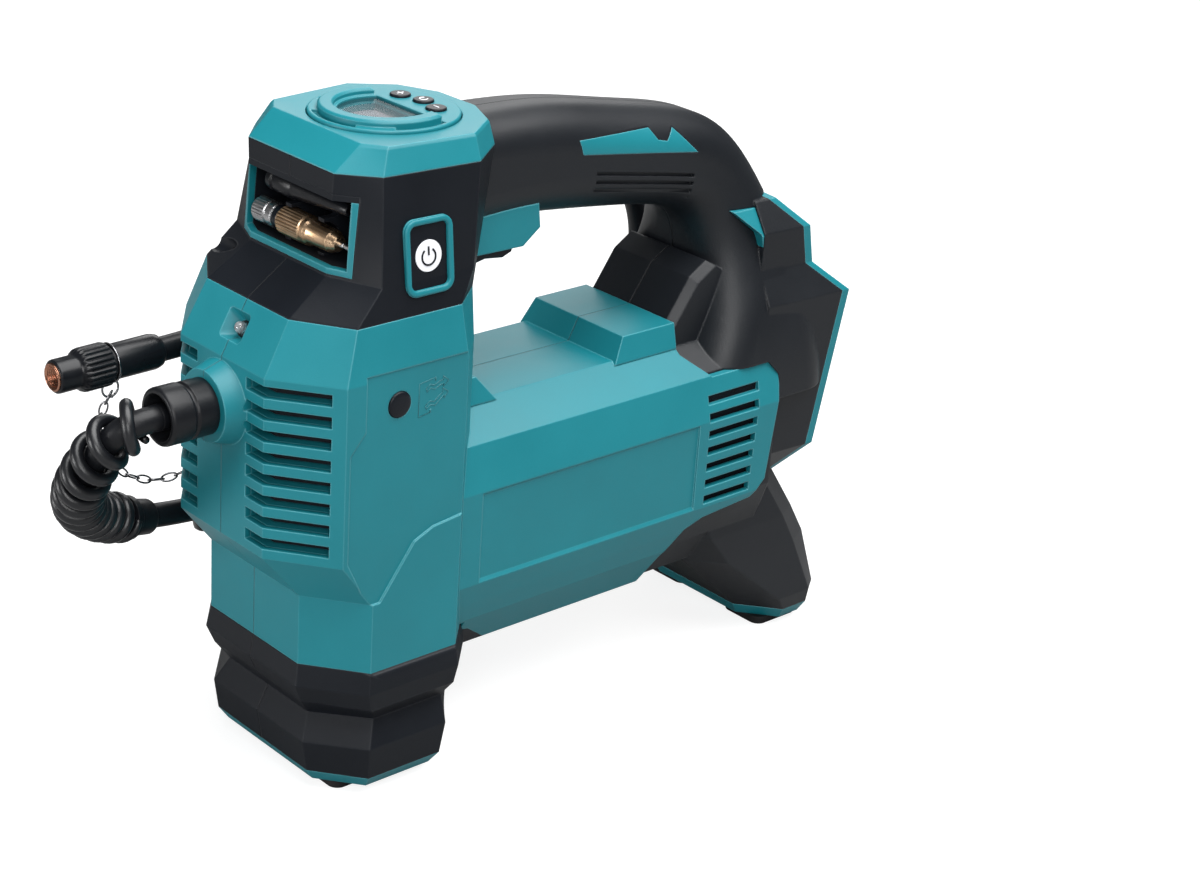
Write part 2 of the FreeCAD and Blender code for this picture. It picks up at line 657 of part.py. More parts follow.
def coil_path(core, start_length, radius):
    """A wire's helix round the core, open at first and then close, that ends straight on both sides.

    Each station has its length along the core, its angle, and how much the wire runs along and across there.
    """
    stations = []
    angle = 0.0
    length = start_length
    bend = 2.5 * guard_wire_radius
    for lean in (0.0, 40.0, 80.0):
        run = math.radians(lean)
        stations.append((length + bend * math.sin(run), bend * (1 - math.cos(run)) / radius,
                         math.cos(run), math.sin(run) / radius))
    length, angle = stations[-1][:2]
    for i in range(2 * (guard_open_turns + guard_close_turns)):
        pitch = guard_open_pitch if i < 2 * guard_open_turns else guard_close_pitch
        length += pitch / 2
        angle += math.pi
        stations.append((length, angle, pitch, 2 * math.pi))
    for lean in (40.0, 0.0):
        run = math.radians(lean)
        last_run = math.radians(80.0)
        stations.append((length + bend * (math.sin(last_run) - math.sin(run)),
                         angle + bend * (math.cos(run) - math.cos(last_run)) / radius,
                         math.cos(run), math.sin(run) / radius))
    stride = 0.5
    frames = carried_frames(core, stations[-1][0] + 5, stride)

    def place(at, turn):
        share = at / stride - int(at / stride)
        near, beyond = frames[int(at / stride)], frames[int(at / stride) + 1]
        point = near[0] * (1 - share) + beyond[0] * share
        along = (near[1] * (1 - share) + beyond[1] * share).normalize()
        side = (near[2] * (1 - share) + beyond[2] * share).normalize()
        return point + (side * math.cos(turn) + side.cross(along) * math.sin(turn)) * radius

    ends = []
    for at, turn, along_rate, turn_rate in stations:
        nudge = 0.3 / math.hypot(along_rate, turn_rate * radius)
        step_on = place(at + along_rate * nudge, turn + turn_rate * nudge)
        step_back = place(at - along_rate * nudge, turn - turn_rate * nudge)
        ends.append((place(at, turn), (step_on - step_back).normalize()))
    lead = 2 * guard_wire_radius
    (first, first_along), (last, last_along) = ends[0], ends[-1]
    edges = [Part.LineSegment(first - first_along * lead, first).toShape()]
    for (near, near_along), (beyond, beyond_along) in zip(ends, ends[1:]):
        edges += biarc(near, near_along, beyond, beyond_along)
    edges.append(Part.LineSegment(last, last + last_along * lead).toShape())
    return Part.Wire(edges), stations[-1][0] + lead


guard_radius = hose_radius + guard_wire_radius + guard_gap
guard_wire, guard_end = coil_path(hose_path, 2 * guard_wire_radius + 0.3, guard_radius)
nodes["hose_guard"] = tube(guard_wire, guard_wire_radius, guard_sides)
spots = guard_wire.discretize(Number=1500)
spacing = guard_wire.Length / 1499
skip = int(math.pi * guard_radius / spacing)
least = min((spots[i] - spots[j]).Length for i in range(0, 1500, 3)
            for j in range(i + skip, min(i + 5 * skip, 1500), 3))
print("guard wire", round(guard_wire.Length), "least gap to itself", round(least - 2 * guard_wire_radius, 2))
print("guard volume over section times length",
      round(nodes["hose_guard"].Volume / (math.pi * guard_wire_radius ** 2 * guard_wire.Length), 4))

chain_ring_at = fitting_end - fitting_axis * 3
eyelet_at = V(chuck_x - 6.2, column_half + 7, chuck_z - 27)
eyelet_radius = 2.2
eyelet_wire = 0.8
chain_points = [chain_ring_at - V(0, 0, fitting_radius + 2.0), V(-14, hose_y + 4, 120), V(-10, hose_y + 8, 105),
                V(-1, hose_y + 9.5, 93), V(11, hose_y + 8.5, 87), V(22, hose_y + 5, 88.5),
                eyelet_at - V(eyelet_radius + eyelet_wire + 0.9, 0, 1)]
chain_path, chain_radii = bent_path(chain_points)
chain_ring = Part.makeTorus(fitting_radius + 1.0, 0.6, chain_ring_at, fitting_axis)
nodes["chuck_chain"] = Part.makeCompound([tube(chain_path, chain_radius, chain_sides), chain_ring])
print("chain length", round(chain_path.Length, 1), "radii", [round(r) for r in chain_radii])

collar_at, collar_along = point_on(hose_path, guard_end + collar_clearance)
collar_slab = rod(collar_at, collar_at + collar_along * collar_length, 2 * collar_radius)
nodes["guard_collar"] = tube(hose_path, collar_radius, hose_sides).common(collar_slab).cut(nodes["hose"])

# Clips that hold the hose on the right side: x, the hose's height there, wall and reach above the hose
clips = [(40, 142.6, column_half - side_recess, 13), (54, 76.4, column_half - side_recess, 15),
         (176, 79.9, barrel_half - barrel_groove, 15)]
clip_forms = []
for x, z, wall_y, rise in clips:
    body = block(x - clip_width / 2, x + clip_width / 2, wall_y - 0.5, hose_y + 2,
                 z - hose_radius - 2, z + rise)
    mouth = block(x - clip_width, x + clip_width, hose_y, far, z - hose_radius + 0.7, z + hose_radius - 0.7)
    relief = block(x - clip_width / 2 + 3, x + clip_width / 2 - 3, wall_y + 2.5, far,
                   z + hose_radius + 2.5, far)
    clip_forms.append(body.cut(hose_clearance_form).cut(mouth).cut(relief))

# Clamp chuck on the peg of the right shell
peg = rod(V(chuck_x, column_half - 2, chuck_z), V(chuck_x, column_half + 8, chuck_z), peg_radius)
chuck_seat_y = column_half + 0.5
chuck_pin_z = chuck_z - chuck_pin_drop
chuck_pin_y = column_half + chuck_pin_reach
chuck_face_y = column_half + 13.0
chuck_tail_y = (column_half + 3.0, column_half + 10.5)
chuck_body = fuse([rod(V(chuck_x, chuck_seat_y, chuck_z), V(chuck_x, chuck_face_y, chuck_z), chuck_radius),
                   prism([(chuck_x - 8, chuck_z), (chuck_x + 8, chuck_z), (chuck_x + 5.5, chuck_pin_z - 2),
                          (chuck_x + 5, chuck_z - 30), (chuck_x - 5, chuck_z - 30),
                          (chuck_x - 5.5, chuck_pin_z - 2)],
                         "y", chuck_tail_y[0], chuck_tail_y[1])])
heel_y = chuck_pin_y + 0.4
heel_reach = math.hypot(lever_heel_rise, lever_heel_depth / 2 + 0.4)
chuck_body = chuck_body.cut(rod(V(chuck_x - 4.4, chuck_pin_y, chuck_pin_z),
                                V(chuck_x + 4.4, chuck_pin_y, chuck_pin_z), heel_reach + lever_clearance))
for side in (-1, 1):
    ear = prism([(chuck_tail_y[1] - 3, chuck_pin_z - 4), (chuck_pin_y + 3, chuck_pin_z - 3),
                 (chuck_pin_y + 3, chuck_pin_z + 3), (chuck_tail_y[1] - 3, chuck_pin_z + 5)], "x",
                chuck_x + side * 4.5, chuck_x + side * 6.6)
    chuck_body = chuck_body.fuse(ear)
eyelet = Part.makeTorus(eyelet_radius, eyelet_wire, eyelet_at, V(0, 1, 0))
chuck_body = chuck_body.fuse(eyelet).removeSplitter()
chuck_body = chuck_body.cut(rod(V(chuck_x, 0, chuck_z), V(chuck_x, column_half + 8.3, chuck_z),
                                peg_radius + running_clearance))
nose_y = (chuck_face_y - 3.0, chuck_face_y + 5.0)
chuck_body = chuck_body.cut(rod(V(chuck_x, nose_y[0], chuck_z), V(chuck_x, far, chuck_z), 5.5))
chuck_pin_hole = rod(V(chuck_x - 7, chuck_pin_y, chuck_pin_z), V(chuck_x + 7, chuck_pin_y, chuck_pin_z),
                     chuck_pin_radius)
nodes["chuck_body"] = chuck_body.cut(chuck_pin_hole)
nodes["chuck_nose"] = fuse([rod(V(chuck_x, nose_y[0], chuck_z), V(chuck_x, chuck_face_y - 0.5, chuck_z), 5.5),
                            rod(V(chuck_x, nose_y[0], chuck_z), V(chuck_x, nose_y[1], chuck_z), thread_radius)])
nose_bore = rod(V(chuck_x, nose_y[0], chuck_z), V(chuck_x, far, chuck_z), 1.6)
nodes["chuck_nose"] = nodes["chuck_nose"].cut(nose_bore)
nodes["chuck_pin"] = rod(V(chuck_x - 6.5, chuck_pin_y, chuck_pin_z), V(chuck_x + 6.5, chuck_pin_y, chuck_pin_z),
                         chuck_pin_radius)
lever_sections = [(chuck_pin_z + lever_heel_rise, heel_y, 8.0, lever_heel_depth, 2.0),
                  (chuck_pin_z - 5, chuck_pin_y + 0.6, 8.0, 6.4, 2.2),
                  (chuck_z - 28, chuck_pin_y + 2.0, 10.5, 7.4, 3.0),
                  (chuck_z - 34, chuck_pin_y + 3.2, 16, 8.6, 3.8),
                  (chuck_z - 46, chuck_pin_y + 3.4, 17.5, 9.6, 4.4),
                  (chuck_z - 62, chuck_pin_y + 3.2, 15, 8.4, 3.8)]
lever_wires = [rounded(V(chuck_x, y, z), V(1, 0, 0), V(0, 1, 0), width, depth, radius)
               for z, y, width, depth, radius in lever_sections]
chuck_lever = Part.makeLoft(lever_wires, True, True)
nodes["chuck_lever"] = chuck_lever.cut(rod(V(chuck_x - 7, chuck_pin_y, chuck_pin_z),
                                           V(chuck_x + 7, chuck_pin_y, chuck_pin_z),
                                           chuck_pin_radius + running_clearance))
chuck_outer_y = nodes["chuck_lever"].optimalBoundingBox(False, False).YMax

# Screws, their wells in the right half and their posts in both halves
screws = []
wells = []
posts = []
for x, z, seat in screw_places:
    tip = V(x, -screw_grip, z)
    head_seat = V(x, seat, z)
    head_top = V(x, seat + screw_head_height, z)
    wells.append(rod(head_seat, V(x, far, z), screw_well_radius))
    wells.append(rod(tip - V(0, 1, 0), head_seat, screw_radius + running_clearance))
    posts.append(rod(V(x, -column_half - 2, z), V(x, column_half + 2, z), screw_post_radius))
    screws.append(rod(tip, head_seat, screw_radius).fuse(rod(head_seat, head_top, screw_head_radius)))
nodes["housing_screws"] = Part.makeCompound(screws)

# Trigger with its guard and switch under the handle's front
guard_outline = [(column_rear_x - 4, 196), (121, 195.5), (122.5, 184.5), (115, 178.8),
                 (column_rear_x - 4, 179.5)]
guard_wall = 4.0
trigger_guard = prism(guard_outline, "y", -trigger_half - guard_wall - 2.5, trigger_half + guard_wall + 2.5)
trigger_guard = trigger_guard.cut(handle_form).cut(fuse([column_form(), head_outer]))
lever_space = block(column_rear_x - 1, 119.5, -trigger_half - 0.3, trigger_half + 0.3, 160, 187)
pivot_x, pivot_z = trigger_pivot
pivot_lug = prism([(pivot_x - 5, pivot_z + 5), (pivot_x - 4, pivot_z - 3), (pivot_x + 4, pivot_z - 3),
                   (pivot_x + 7, pivot_z + 5)], "y", -trigger_half - 3.3, trigger_half + 3.3)
switch_space = block(94, 120, -9.2, 9.2, 187, 205)
trigger_guard = fuse([trigger_guard, pivot_lug]).cut([column_form(), head_outer])
trigger_guard = trigger_guard.cut([lever_space, switch_space])
trigger_pin_half = trigger_half + 2.5
nodes["trigger_guard"] = trigger_guard.cut(rod(V(pivot_x, -trigger_pin_half - 0.2, pivot_z),
                                               V(pivot_x, trigger_pin_half + 0.2, pivot_z),
                                               trigger_pin_radius + running_clearance))
lever_outline = [(84, 180), (84, 171.5), (87, 168.5), (96, 172.5), (104, 174), (112, 173), (116, 174.5),
                 (117, 178), (115, 180.5)]
trigger_lever = prism(lever_outline, "y", -trigger_half, trigger_half)
trigger_edges = [edge for edge in trigger_lever.Edges
                 if abs(abs(edge.CenterOfMass.y) - trigger_half) < 0.01 and edge.CenterOfMass.z < 179]
trigger_lever = trigger_lever.makeFillet(1.2, trigger_edges)
nodes["trigger_lever"] = trigger_lever.fuse(rod(V(pivot_x, -trigger_pin_half, pivot_z),
                                                V(pivot_x, trigger_pin_half, pivot_z), trigger_pin_radius))
nodes["trigger_switch"] = fuse([block(94.2, 119.8, -9, 9, 187.3, 204.8),
                                rod(V(106, 0, 184.8), V(106, 0, 188), 2.0)])

# Inlays on both sides of the handle
inlay_outline = [(137, 213.6), (172, 212.2), (175.5, 207.6), (180, 206.5), (184, 210.4), (195, 200.2),
                 (138.8, 208.2)]
inlay_depth = 1.6
inlay_skin = []
for side in (-1, 1):
    inlay_skin.append(prism(inlay_outline, "y", side * (grip_width / 2 - inlay_depth - 2.4), side * grip_width))
handle_inlays = Part.makeCompound(inlay_skin).common(handle_form)
nodes["handle_inlays"] = handle_inlays

# Grip ribs low on the handle's sides
rib_cuts = []
for i in range(4):
    low = [(146, 199.5 - i * 3.1), (194, 191 - i * 3.1), (194, 192.3 - i * 3.1), (146, 200.8 - i * 3.1)]
    rib_cuts += both(prism(low, "y", grip_width / 2 - 1.1 - 0.35 * i, grip_width))

# Covers and shells, hollowed and split in halves
rear_hollow = fuse([cover_cavity, frame_space, switch_space])
rear_solid = rear_form.cut(rear_hollow)
rear_solid = rear_solid.fuse(Part.makeCompound(posts).common(rear_form)).cut(frame_space)
rear_cover = rear_solid.cut(wells + rib_cuts + inlay_skin + [nodes["trigger_guard"]])
nodes["left_grip"] = rear_cover.common(left_half)
nodes["right_grip"] = rear_cover.common(right_half)

shell_posts = Part.makeCompound(posts).common(shell_form)
shell = shell_form.cut(column_form(wall).fuse(barrel_cavity)).fuse(shell_posts).fuse(led_cup_wall)
outlet_hole = rod(V(-far, 0, outlet_z), V(wall + 3, 0, outlet_z), hose_radius + running_clearance)
shell = shell.cut(vents + wells + [led_cup(0, 4.5), led_seat, outlet_hole, toe])
nodes["left_shell"] = shell.common(left_half).cut(release_hole)
nodes["right_shell"] = fuse([shell.common(right_half), peg] + clip_forms)

head_shell = head_outer.cut(head_form(wall).common(block(-far, far, -far, far, 0, cap_z - wall)))
head_posts = Part.makeCompound(posts).common(head_outer).common(block(-far, bay_depth_x, -far, far, 0, neck_z))
head_shell = head_shell.fuse(head_posts).cut(bay_outer)
key_hole = key_prism(key_border, -far, key_inside_y)
head_shell = head_shell.cut(wells + [nodes["trigger_guard"]])
nodes["left_head"] = head_shell.common(left_half).cut(key_hole)
nodes["right_head"] = head_shell.common(right_half)

bay_liner = bay_outer.common(head_outer).cut(bay_inner)
bay_skin = head_form(2.6)
nodes["bay_frame"] = bay_liner.cut([bay_skin, block(-far, far, -far, far, bay_high_z, far)])
holder = []
for y in (-10, 8):
    holder.append(block(adapter_x - 1, bay_depth_x + 0.5, y - 1.5, y + 1.5, bay_low_z - 0.5, bay_high_z + 0.5))
tray = bay_liner.cut(nodes["bay_frame"]).fuse(holder)
adapter_slot = [rod(V(adapter_x, -far, adapter_z), V(adapter_x, far, adapter_z), adapter_radius + 0.3),
                block(-far, adapter_x, -far, far, adapter_z - adapter_radius - 0.3,
                      adapter_z + adapter_radius + 0.3),
                rod(V(nozzle_x, -far, nozzle_z), V(nozzle_x, far, nozzle_z), nozzle_radius + 0.3),
                block(-far, nozzle_x, -far, far, nozzle_z - nozzle_radius - 0.3,
                      nozzle_z + nozzle_radius + 0.3)]
nodes["adapter_tray"] = tray.cut([space.common(bay_inner) for space in adapter_slot])


def bay_point(y):
    return V(adapter_x, y, adapter_z)


brass = fuse([rod(bay_point(-16), bay_point(-4), adapter_radius - 0.8),
              rod(bay_point(-4), bay_point(11), adapter_radius),
              cone(bay_point(-19), bay_point(-16), adapter_radius - 2.2, adapter_radius - 0.8)])
brass_grips = 10
for i in range(brass_grips):
    angle = 2 * math.pi * i / brass_grips
    away = V(math.cos(angle), 0, math.sin(angle)) * (adapter_radius + 0.15)
    brass = brass.cut(rod(bay_point(-3) + away, bay_point(10) + away, 0.6))
nodes["valve_adapter"] = brass.cut(rod(bay_point(-20), bay_point(12), 1.1))
nodes["ball_needle"] = fuse([rod(bay_point(11), bay_point(14), adapter_radius - 1.2),
                             rod(bay_point(14), bay_point(25), adapter_radius - 0.5),
                             rod(bay_point(-25), bay_point(14), 1.0)])
nodes["plastic_nozzle"] = fuse([rod(V(nozzle_x, 8, nozzle_z), V(nozzle_x, 22, nozzle_z), nozzle_radius),
                                cone(V(nozzle_x, 8, nozzle_z), V(nozzle_x, -20, nozzle_z),
                                     nozzle_radius - 0.4, 2.0)])

# Feet with their teal rims and rubber pads
front_foot = front_foot_form.fuse(toe).cut(prism(barrel_section, "x", column_rear_x, far).cut(toe))
front_foot = front_foot.cut(wells + [skirt])
nodes["left_front_foot"] = front_foot.common(left_half)
nodes["right_front_foot"] = front_foot.common(right_half)
nodes["front_foot_rim"] = stack([(rim_low_z, inset(front_rim_high, 3.5)), (rim_high_z, front_rim_high)])
nodes["rear_foot_rim"] = stack([(rim_low_z, inset(rear_rim_high, 3.0)), (rim_high_z, rear_rim_high)])
pad_height = rim_low_z
front_pads = []
rear_pads = []
for side in (-1, 1):
    front_pad = rounded(V(42, side * 24, 0), V(1, 0, 0), V(0, 1, 0), 32, 18, 4)
    front_pads.append(Part.Face(front_pad).extrude(V(0, 0, pad_height)))
    rear_pad = rounded(V(foot_rear_x - 15.5, side * (rear_foot_half - 17.5), 0), V(1, 0, 0), V(0, 1, 0),
                       23, 20, 4)
    rear_pads.append(Part.Face(rear_pad).extrude(V(0, 0, pad_height)))
nodes["front_pads"] = Part.makeCompound(front_pads)
nodes["rear_pads"] = Part.makeCompound(rear_pads)

# Battery frame with its liner, rails and terminals
frame_liner = prism(inset(frame_outline, frame_rim - 2), "x", 190, far).cut(receptacle)
frame_liner = frame_liner.common(frame_taper.fuse(block(200, 240, -far, far, 0, far)))
battery_frame = frame_solid.cut(before_face(-frame_depth)).cut(receptacle)
frame_liner = frame_liner.common(before_face(0)).cut(before_face(-receptacle_depth - 2))
battery_frame = fuse([battery_frame, frame_liner])
rails = []
for side in (-1, 1):
    rail = prism([(237, 84), (244.5, 84), (251, 134), (243.5, 134)], "y",
                 side * (frame_half - 10), side * (frame_half - 3))
    rails.append(rail)
latch_slot = block(214, 240, -14, 14, 158, 168)
rails = Part.makeCompound(rails).common(receptacle.fuse(battery_frame))
battery_frame = battery_frame.fuse(rails).removeSplitter()
nodes["battery_frame"] = battery_frame.cut(latch_slot)
terminal_back = before_face(-receptacle_depth)
terminal_block = prism([(230, 88), (240, 88), (246, 130), (230, 130)], "y", -15, 15).cut(terminal_back)
blade_slots = []
blades = []
for y in (-9, 0, 9):
    blade_slots.append(block(225, 250, y - 2.2, y + 2.2, 94, 140))
    blades.append(block(236, 241.5, y - 0.5, y + 0.5, 98, 120))
blade_seat = prism([(230, 84), (237, 84), (243, 130), (230, 130)], "y", -far, far)
nodes["terminal_block"] = terminal_block.cut([slot.cut(blade_seat) for slot in blade_slots])
nodes["terminals"] = Part.makeCompound(blades).cut(blade_seat).cut(terminal_back)

# Display in the cap
dial_bottom_z = cap_z + 1.5
dial_top_z = cap_top_z + dial_high
dial_roof_z = cap_top_z - 3.5
horseshoe_outer = dial_radius - 3.4
horseshoe_inner = window_radius + 1.1
dial_centre = V(dial_x, 0, 0)


def dial_rod(radius, low, high):
    return rod(dial_centre + V(0, 0, low), dial_centre + V(0, 0, high), radius)


def d_shape(radius, low, high, cut_x):
    """A disc cut off straight on its rear side."""
    return dial_rod(radius, low, high).common(block(-far, cut_x, -far, far, low, high))


nodes["display_cap"] = cap_form.cut(dial_rod(dial_radius + dial_gap, dial_bottom_z, far)).cut(
    dial_rod(dial_radius - 3.5, cap_z, dial_bottom_z))
button_places = [(dial_x + 14.3, 9.6), (dial_x + 16.6, 0.0), (dial_x + 14.3, -9.6)]
button_holes = [rod(V(x, y, dial_roof_z - 1), V(x, y, far), button_radius + running_clearance)
                for x, y in button_places]
horseshoe = ring(dial_centre + V(0, 0, dial_top_z - 0.5), dial_centre + V(0, 0, dial_top_z + 2.2),
                 horseshoe_outer, horseshoe_inner)
horseshoe = horseshoe.common(block(-far, dial_x + 7.5, -far, far, 0, far))
groove = ring(dial_centre + V(0, 0, dial_top_z - dial_groove), dial_centre + V(0, 0, dial_top_z + 1),
              dial_radius - 1.2, horseshoe_outer).common(block(-far, dial_x + 7.5, -far, far, 0, far))
for side in (-1, 1):
    bridge = block(-far, 0, -6.5, 6.5, -far, far)
    bridge.rotate(V(0, 0, 0), V(0, 0, 1), side * 45)
    bridge.translate(dial_centre)
    groove = groove.cut(bridge)
horseshoe_top = [edge for edge in horseshoe.Edges if edge.BoundBox.ZMin > dial_top_z + 2.1]
horseshoe = horseshoe.makeChamfer(0.8, horseshoe_top)
bezel = dial_rod(dial_radius, dial_bottom_z, dial_top_z)
bezel_top = [edge for edge in bezel.Edges if edge.BoundBox.ZMin > dial_top_z - 0.1]
bezel = bezel.makeFillet(0.7, bezel_top).fuse(horseshoe)
bezel = bezel.cut([dial_rod(dial_radius - 4.0, dial_bottom_z, dial_roof_z), groove])
bezel = bezel.cut(d_shape(window_radius - 1.2, dial_roof_z - 1, far, window_cut_x - 1.2))
bezel = bezel.cut(d_shape(window_radius, dial_top_z - 2.2, far, window_cut_x))
nodes["display_bezel"] = bezel.cut(button_holes)
nodes["display_window"] = d_shape(window_radius - 0.1, dial_top_z - 2.2, dial_top_z - 0.7, window_cut_x - 0.1)
nodes["lcd_panel"] = d_shape(window_radius + 1.5, dial_roof_z - 2.5, dial_roof_z, window_cut_x + 0.5)
switch_dots = [rod(V(x, y, dial_roof_z - 2.6), V(x, y, dial_roof_z - 2.0), 1.6) for x, y in button_places]
nodes["display_board"] = fuse([dial_rod(dial_radius - 4.2, dial_roof_z - 4.1, dial_roof_z - 2.5)] + switch_dots)
for name, (x, y) in zip(("plus_button", "mode_button", "minus_button"), button_places):
    button = rod(V(x, y, dial_roof_z - 1.0), V(x, y, dial_top_z + 0.9), button_radius)
    button_top = [edge for edge in button.Edges if edge.BoundBox.ZMin > dial_top_z]
    nodes[name] = button.makeFillet(0.5, button_top)

# Motor, gears and pump
gear_z = motor_z + gear_module * (pinion_teeth + gear_teeth) / 2


def motor_point(x):
    return V(x, 0, motor_z)


def gear_point(x):
    return V(x, 0, gear_z)


def spur_gear(teeth, centre_z, offset):
    """A spur gear with straight-flanked teeth, the first of them turned by an offset in degrees."""
    pitch = gear_module * teeth / 2
    outer = pitch + 0.9 * gear_module
    root = pitch - 1.15 * gear_module
    step_angle = 2 * math.pi / teeth
    outline = []
    for i in range(teeth):
        middle = math.radians(offset) + i * step_angle
        for radius, share in ((root, -0.33), (outer, -0.12), (outer, 0.12), (root, 0.33)):
            angle = middle + share * step_angle
            outline.append((radius * math.cos(angle), centre_z + radius * math.sin(angle)))
    return prism(outline, "x", gear_x[0], gear_x[1])


nodes["motor_can"] = ring(motor_point(motor_x[0]), motor_point(motor_x[1]), motor_radius, motor_radius - 1.5)
for low, high in ((motor_x[0], motor_x[0] + 3), (motor_x[1] - 3, motor_x[1])):
    nodes["motor_can"] = nodes["motor_can"].fuse(ring(motor_point(low), motor_point(high), motor_radius - 1,
                                                      shaft_radius + running_clearance))
nodes["motor_can"] = fuse([nodes["motor_can"], ring(motor_point(bulkhead_x[1]), motor_point(motor_x[0]), 7,
                                                    shaft_radius + running_clearance)])
nodes["motor_rotor"] = fuse([rod(motor_point(gear_x[0] - 0.5), motor_point(fan_x[1]), shaft_radius),
                             rod(motor_point(motor_x[0] + 9), motor_point(motor_x[1] - 12), motor_radius - 6)])
pinion = spur_gear(pinion_teeth, motor_z, 0)
nodes["motor_pinion"] = pinion.cut(rod(motor_point(gear_x[0] - 1), motor_point(gear_x[1] + 1), shaft_radius))
fan_body = [rod(motor_point(fan_x[0]), motor_point(fan_x[1]), 6),
            rod(motor_point(fan_x[0]), motor_point(fan_x[0] + 1.4), fan_radius)]
for i in range(fan_blades):
    blade = block(fan_x[0] + 0.7, fan_x[1], -0.7, 0.7, motor_z + 5, motor_z + fan_radius)
    blade.rotate(motor_point(0), V(1, 0, 0), 360.0 * i / fan_blades)
    fan_body.append(blade)
fan_bore = rod(motor_point(fan_x[0] - 1), motor_point(fan_x[1] + 1), shaft_radius)
nodes["cooling_fan"] = fuse(fan_body).cut(fan_bore)

gear = spur_gear(gear_teeth, gear_z, 360.0 / gear_teeth / 2)
crank_pin_start = rod_x[1] + crank_gap
crank_point = V(0, 0, gear_z - crank_radius)
nodes["crank_gear"] = fuse([gear,
                            rod(gear_point(gear_x[1]), gear_point(bulkhead_x[1] + 1.5), gear_shaft_radius),
                            rod(crank_point + V(gear_x[0] - 3, 0, 0), crank_point + V(gear_x[0], 0, 0), 6),
                            rod(crank_point + V(crank_pin_start, 0, 0), crank_point + V(gear_x[0], 0, 0),
                                crank_pin_radius)])
bulkhead_section = inset(barrel_section, wall + free_clearance)
bulkhead = prism(bulkhead_section, "x", bulkhead_x[0], bulkhead_x[1])
piston_x = (rod_x[0] + rod_x[1]) / 2
gudgeon_z = gear_z - crank_radius + rod_length
piston_top_z = gudgeon_z + crown_height
head_low_z = piston_top_z + 2 * crank_radius + head_clearance
cylinder_low_z = gudgeon_z - skirt_height - 1
cylinder_outer = bore_radius + cylinder_wall
shelf_z = (cylinder_low_z + 5, cylinder_low_z + 9)
shelf = block(piston_x - cylinder_outer - 4, bulkhead_x[1], -cylinder_outer - 4, cylinder_outer + 4, shelf_z[0],
              shelf_z[1])
bulkhead = bulkhead.fuse(shelf).cut(rod(V(piston_x, 0, shelf_z[0] - 1), V(piston_x, 0, shelf_z[1] + 1),
                                        cylinder_outer + running_clearance))
bulkhead = bulkhead.cut([toe] + [rod(V(x, -far, z), V(x, far, z), screw_post_radius + 0.3)
                                 for x, z, seat in screw_places])
bulkhead = bulkhead.cut(rod(motor_point(0), motor_point(far), 7))
bulkhead = bulkhead.cut(rod(gear_point(0), gear_point(far), gear_shaft_radius + running_clearance))
for side in (-1, 1):
    for z in (60, 100):
        bulkhead = bulkhead.cut(rod(V(0, side * 27, z), V(far, side * 27, z), 6))
nodes["gear_bracket"] = bulkhead.fuse(ring(motor_point(bulkhead_x[0]), motor_point(bulkhead_x[1]), 7,
                                           shaft_radius + running_clearance)).removeSplitter()


def bore_point(z):
    return V(piston_x, 0, z)


nodes["cylinder"] = fuse([ring(bore_point(cylinder_low_z), bore_point(head_low_z), cylinder_outer, bore_radius),
                          rod(bore_point(head_low_z), bore_point(head_low_z + 12), cylinder_outer),
                          rod(V(-boss_length + 0.2, 0, outlet_z), V(piston_x - bore_radius, 0, outlet_z), 4.0)])
nodes["cylinder"] = nodes["cylinder"].cut(rod(V(-boss_length - 1, 0, outlet_z), V(piston_x, 0, outlet_z), 1.5))
piston = rod(bore_point(gudgeon_z - skirt_height), bore_point(piston_top_z), bore_radius - running_clearance)
rod_slot = block(rod_x[0] - 0.3, rod_x[1] + 0.3, -far, far, 0, gudgeon_z + gudgeon_radius + 3)
piston = piston.cut(rod_slot.common(rod(bore_point(0), bore_point(far), bore_radius - 1.5)))
gudgeon = rod(V(piston_x - bore_radius + 1, 0, gudgeon_z), V(piston_x + bore_radius - 1, 0, gudgeon_z),
              gudgeon_radius)
nodes["piston"] = piston.fuse(gudgeon).removeSplitter()
big_end_z = gear_z - crank_radius


def rod_eye(z, radius):
    return rod(V(rod_x[0], 0, z), V(rod_x[1], 0, z), radius)


con_rod = fuse([rod_eye(gudgeon_z, gudgeon_radius + 2.2), rod_eye(big_end_z, crank_pin_radius + 2.2),
                block(rod_x[0] + 1, rod_x[1] - 1, -2.4, 2.4, big_end_z, gudgeon_z)])
nodes["con_rod"] = con_rod.cut(rod_eye(gudgeon_z, gudgeon_radius + running_clearance)).cut(
    rod_eye(big_end_z, crank_pin_radius + running_clearance))

board_z = 102.0
board_half = barrel_half - wall - 0.4
nodes["control_board"] = fuse([block(96, 168, -board_half, board_half, board_z, board_z + 1.6),
                               block(104, 128, -14, 14, board_z + 1.6, board_z + 10),
                               rod(V(140, 12, board_z + 1), V(140, 12, board_z + 15), 6),
                               rod(V(140, -8, board_z + 1), V(140, -8, board_z + 15), 6)])

origin = V((foot_rear_x - boss_length) / 2, (chuck_outer_y - front_foot_half) / 2, 0)
for name in sorted(nodes):
    shape = nodes[name]
    solids = shape.Solids
    if len(solids) == 1:
        shape = solids[0]
    else:
        shape = Part.makeCompound(solids)
    print(name, "valid" if shape.isValid() else "INVALID", len(solids), round(shape.Volume / 1000, 2))
    shape.translate(origin * -1)
    shape.exportStep("parts/%s.step" % name)
print("origin", origin, "nodes", len(nodes))
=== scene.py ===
import math

import bmesh
import bpy
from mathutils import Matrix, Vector
from mathutils.bvhtree import BVHTree


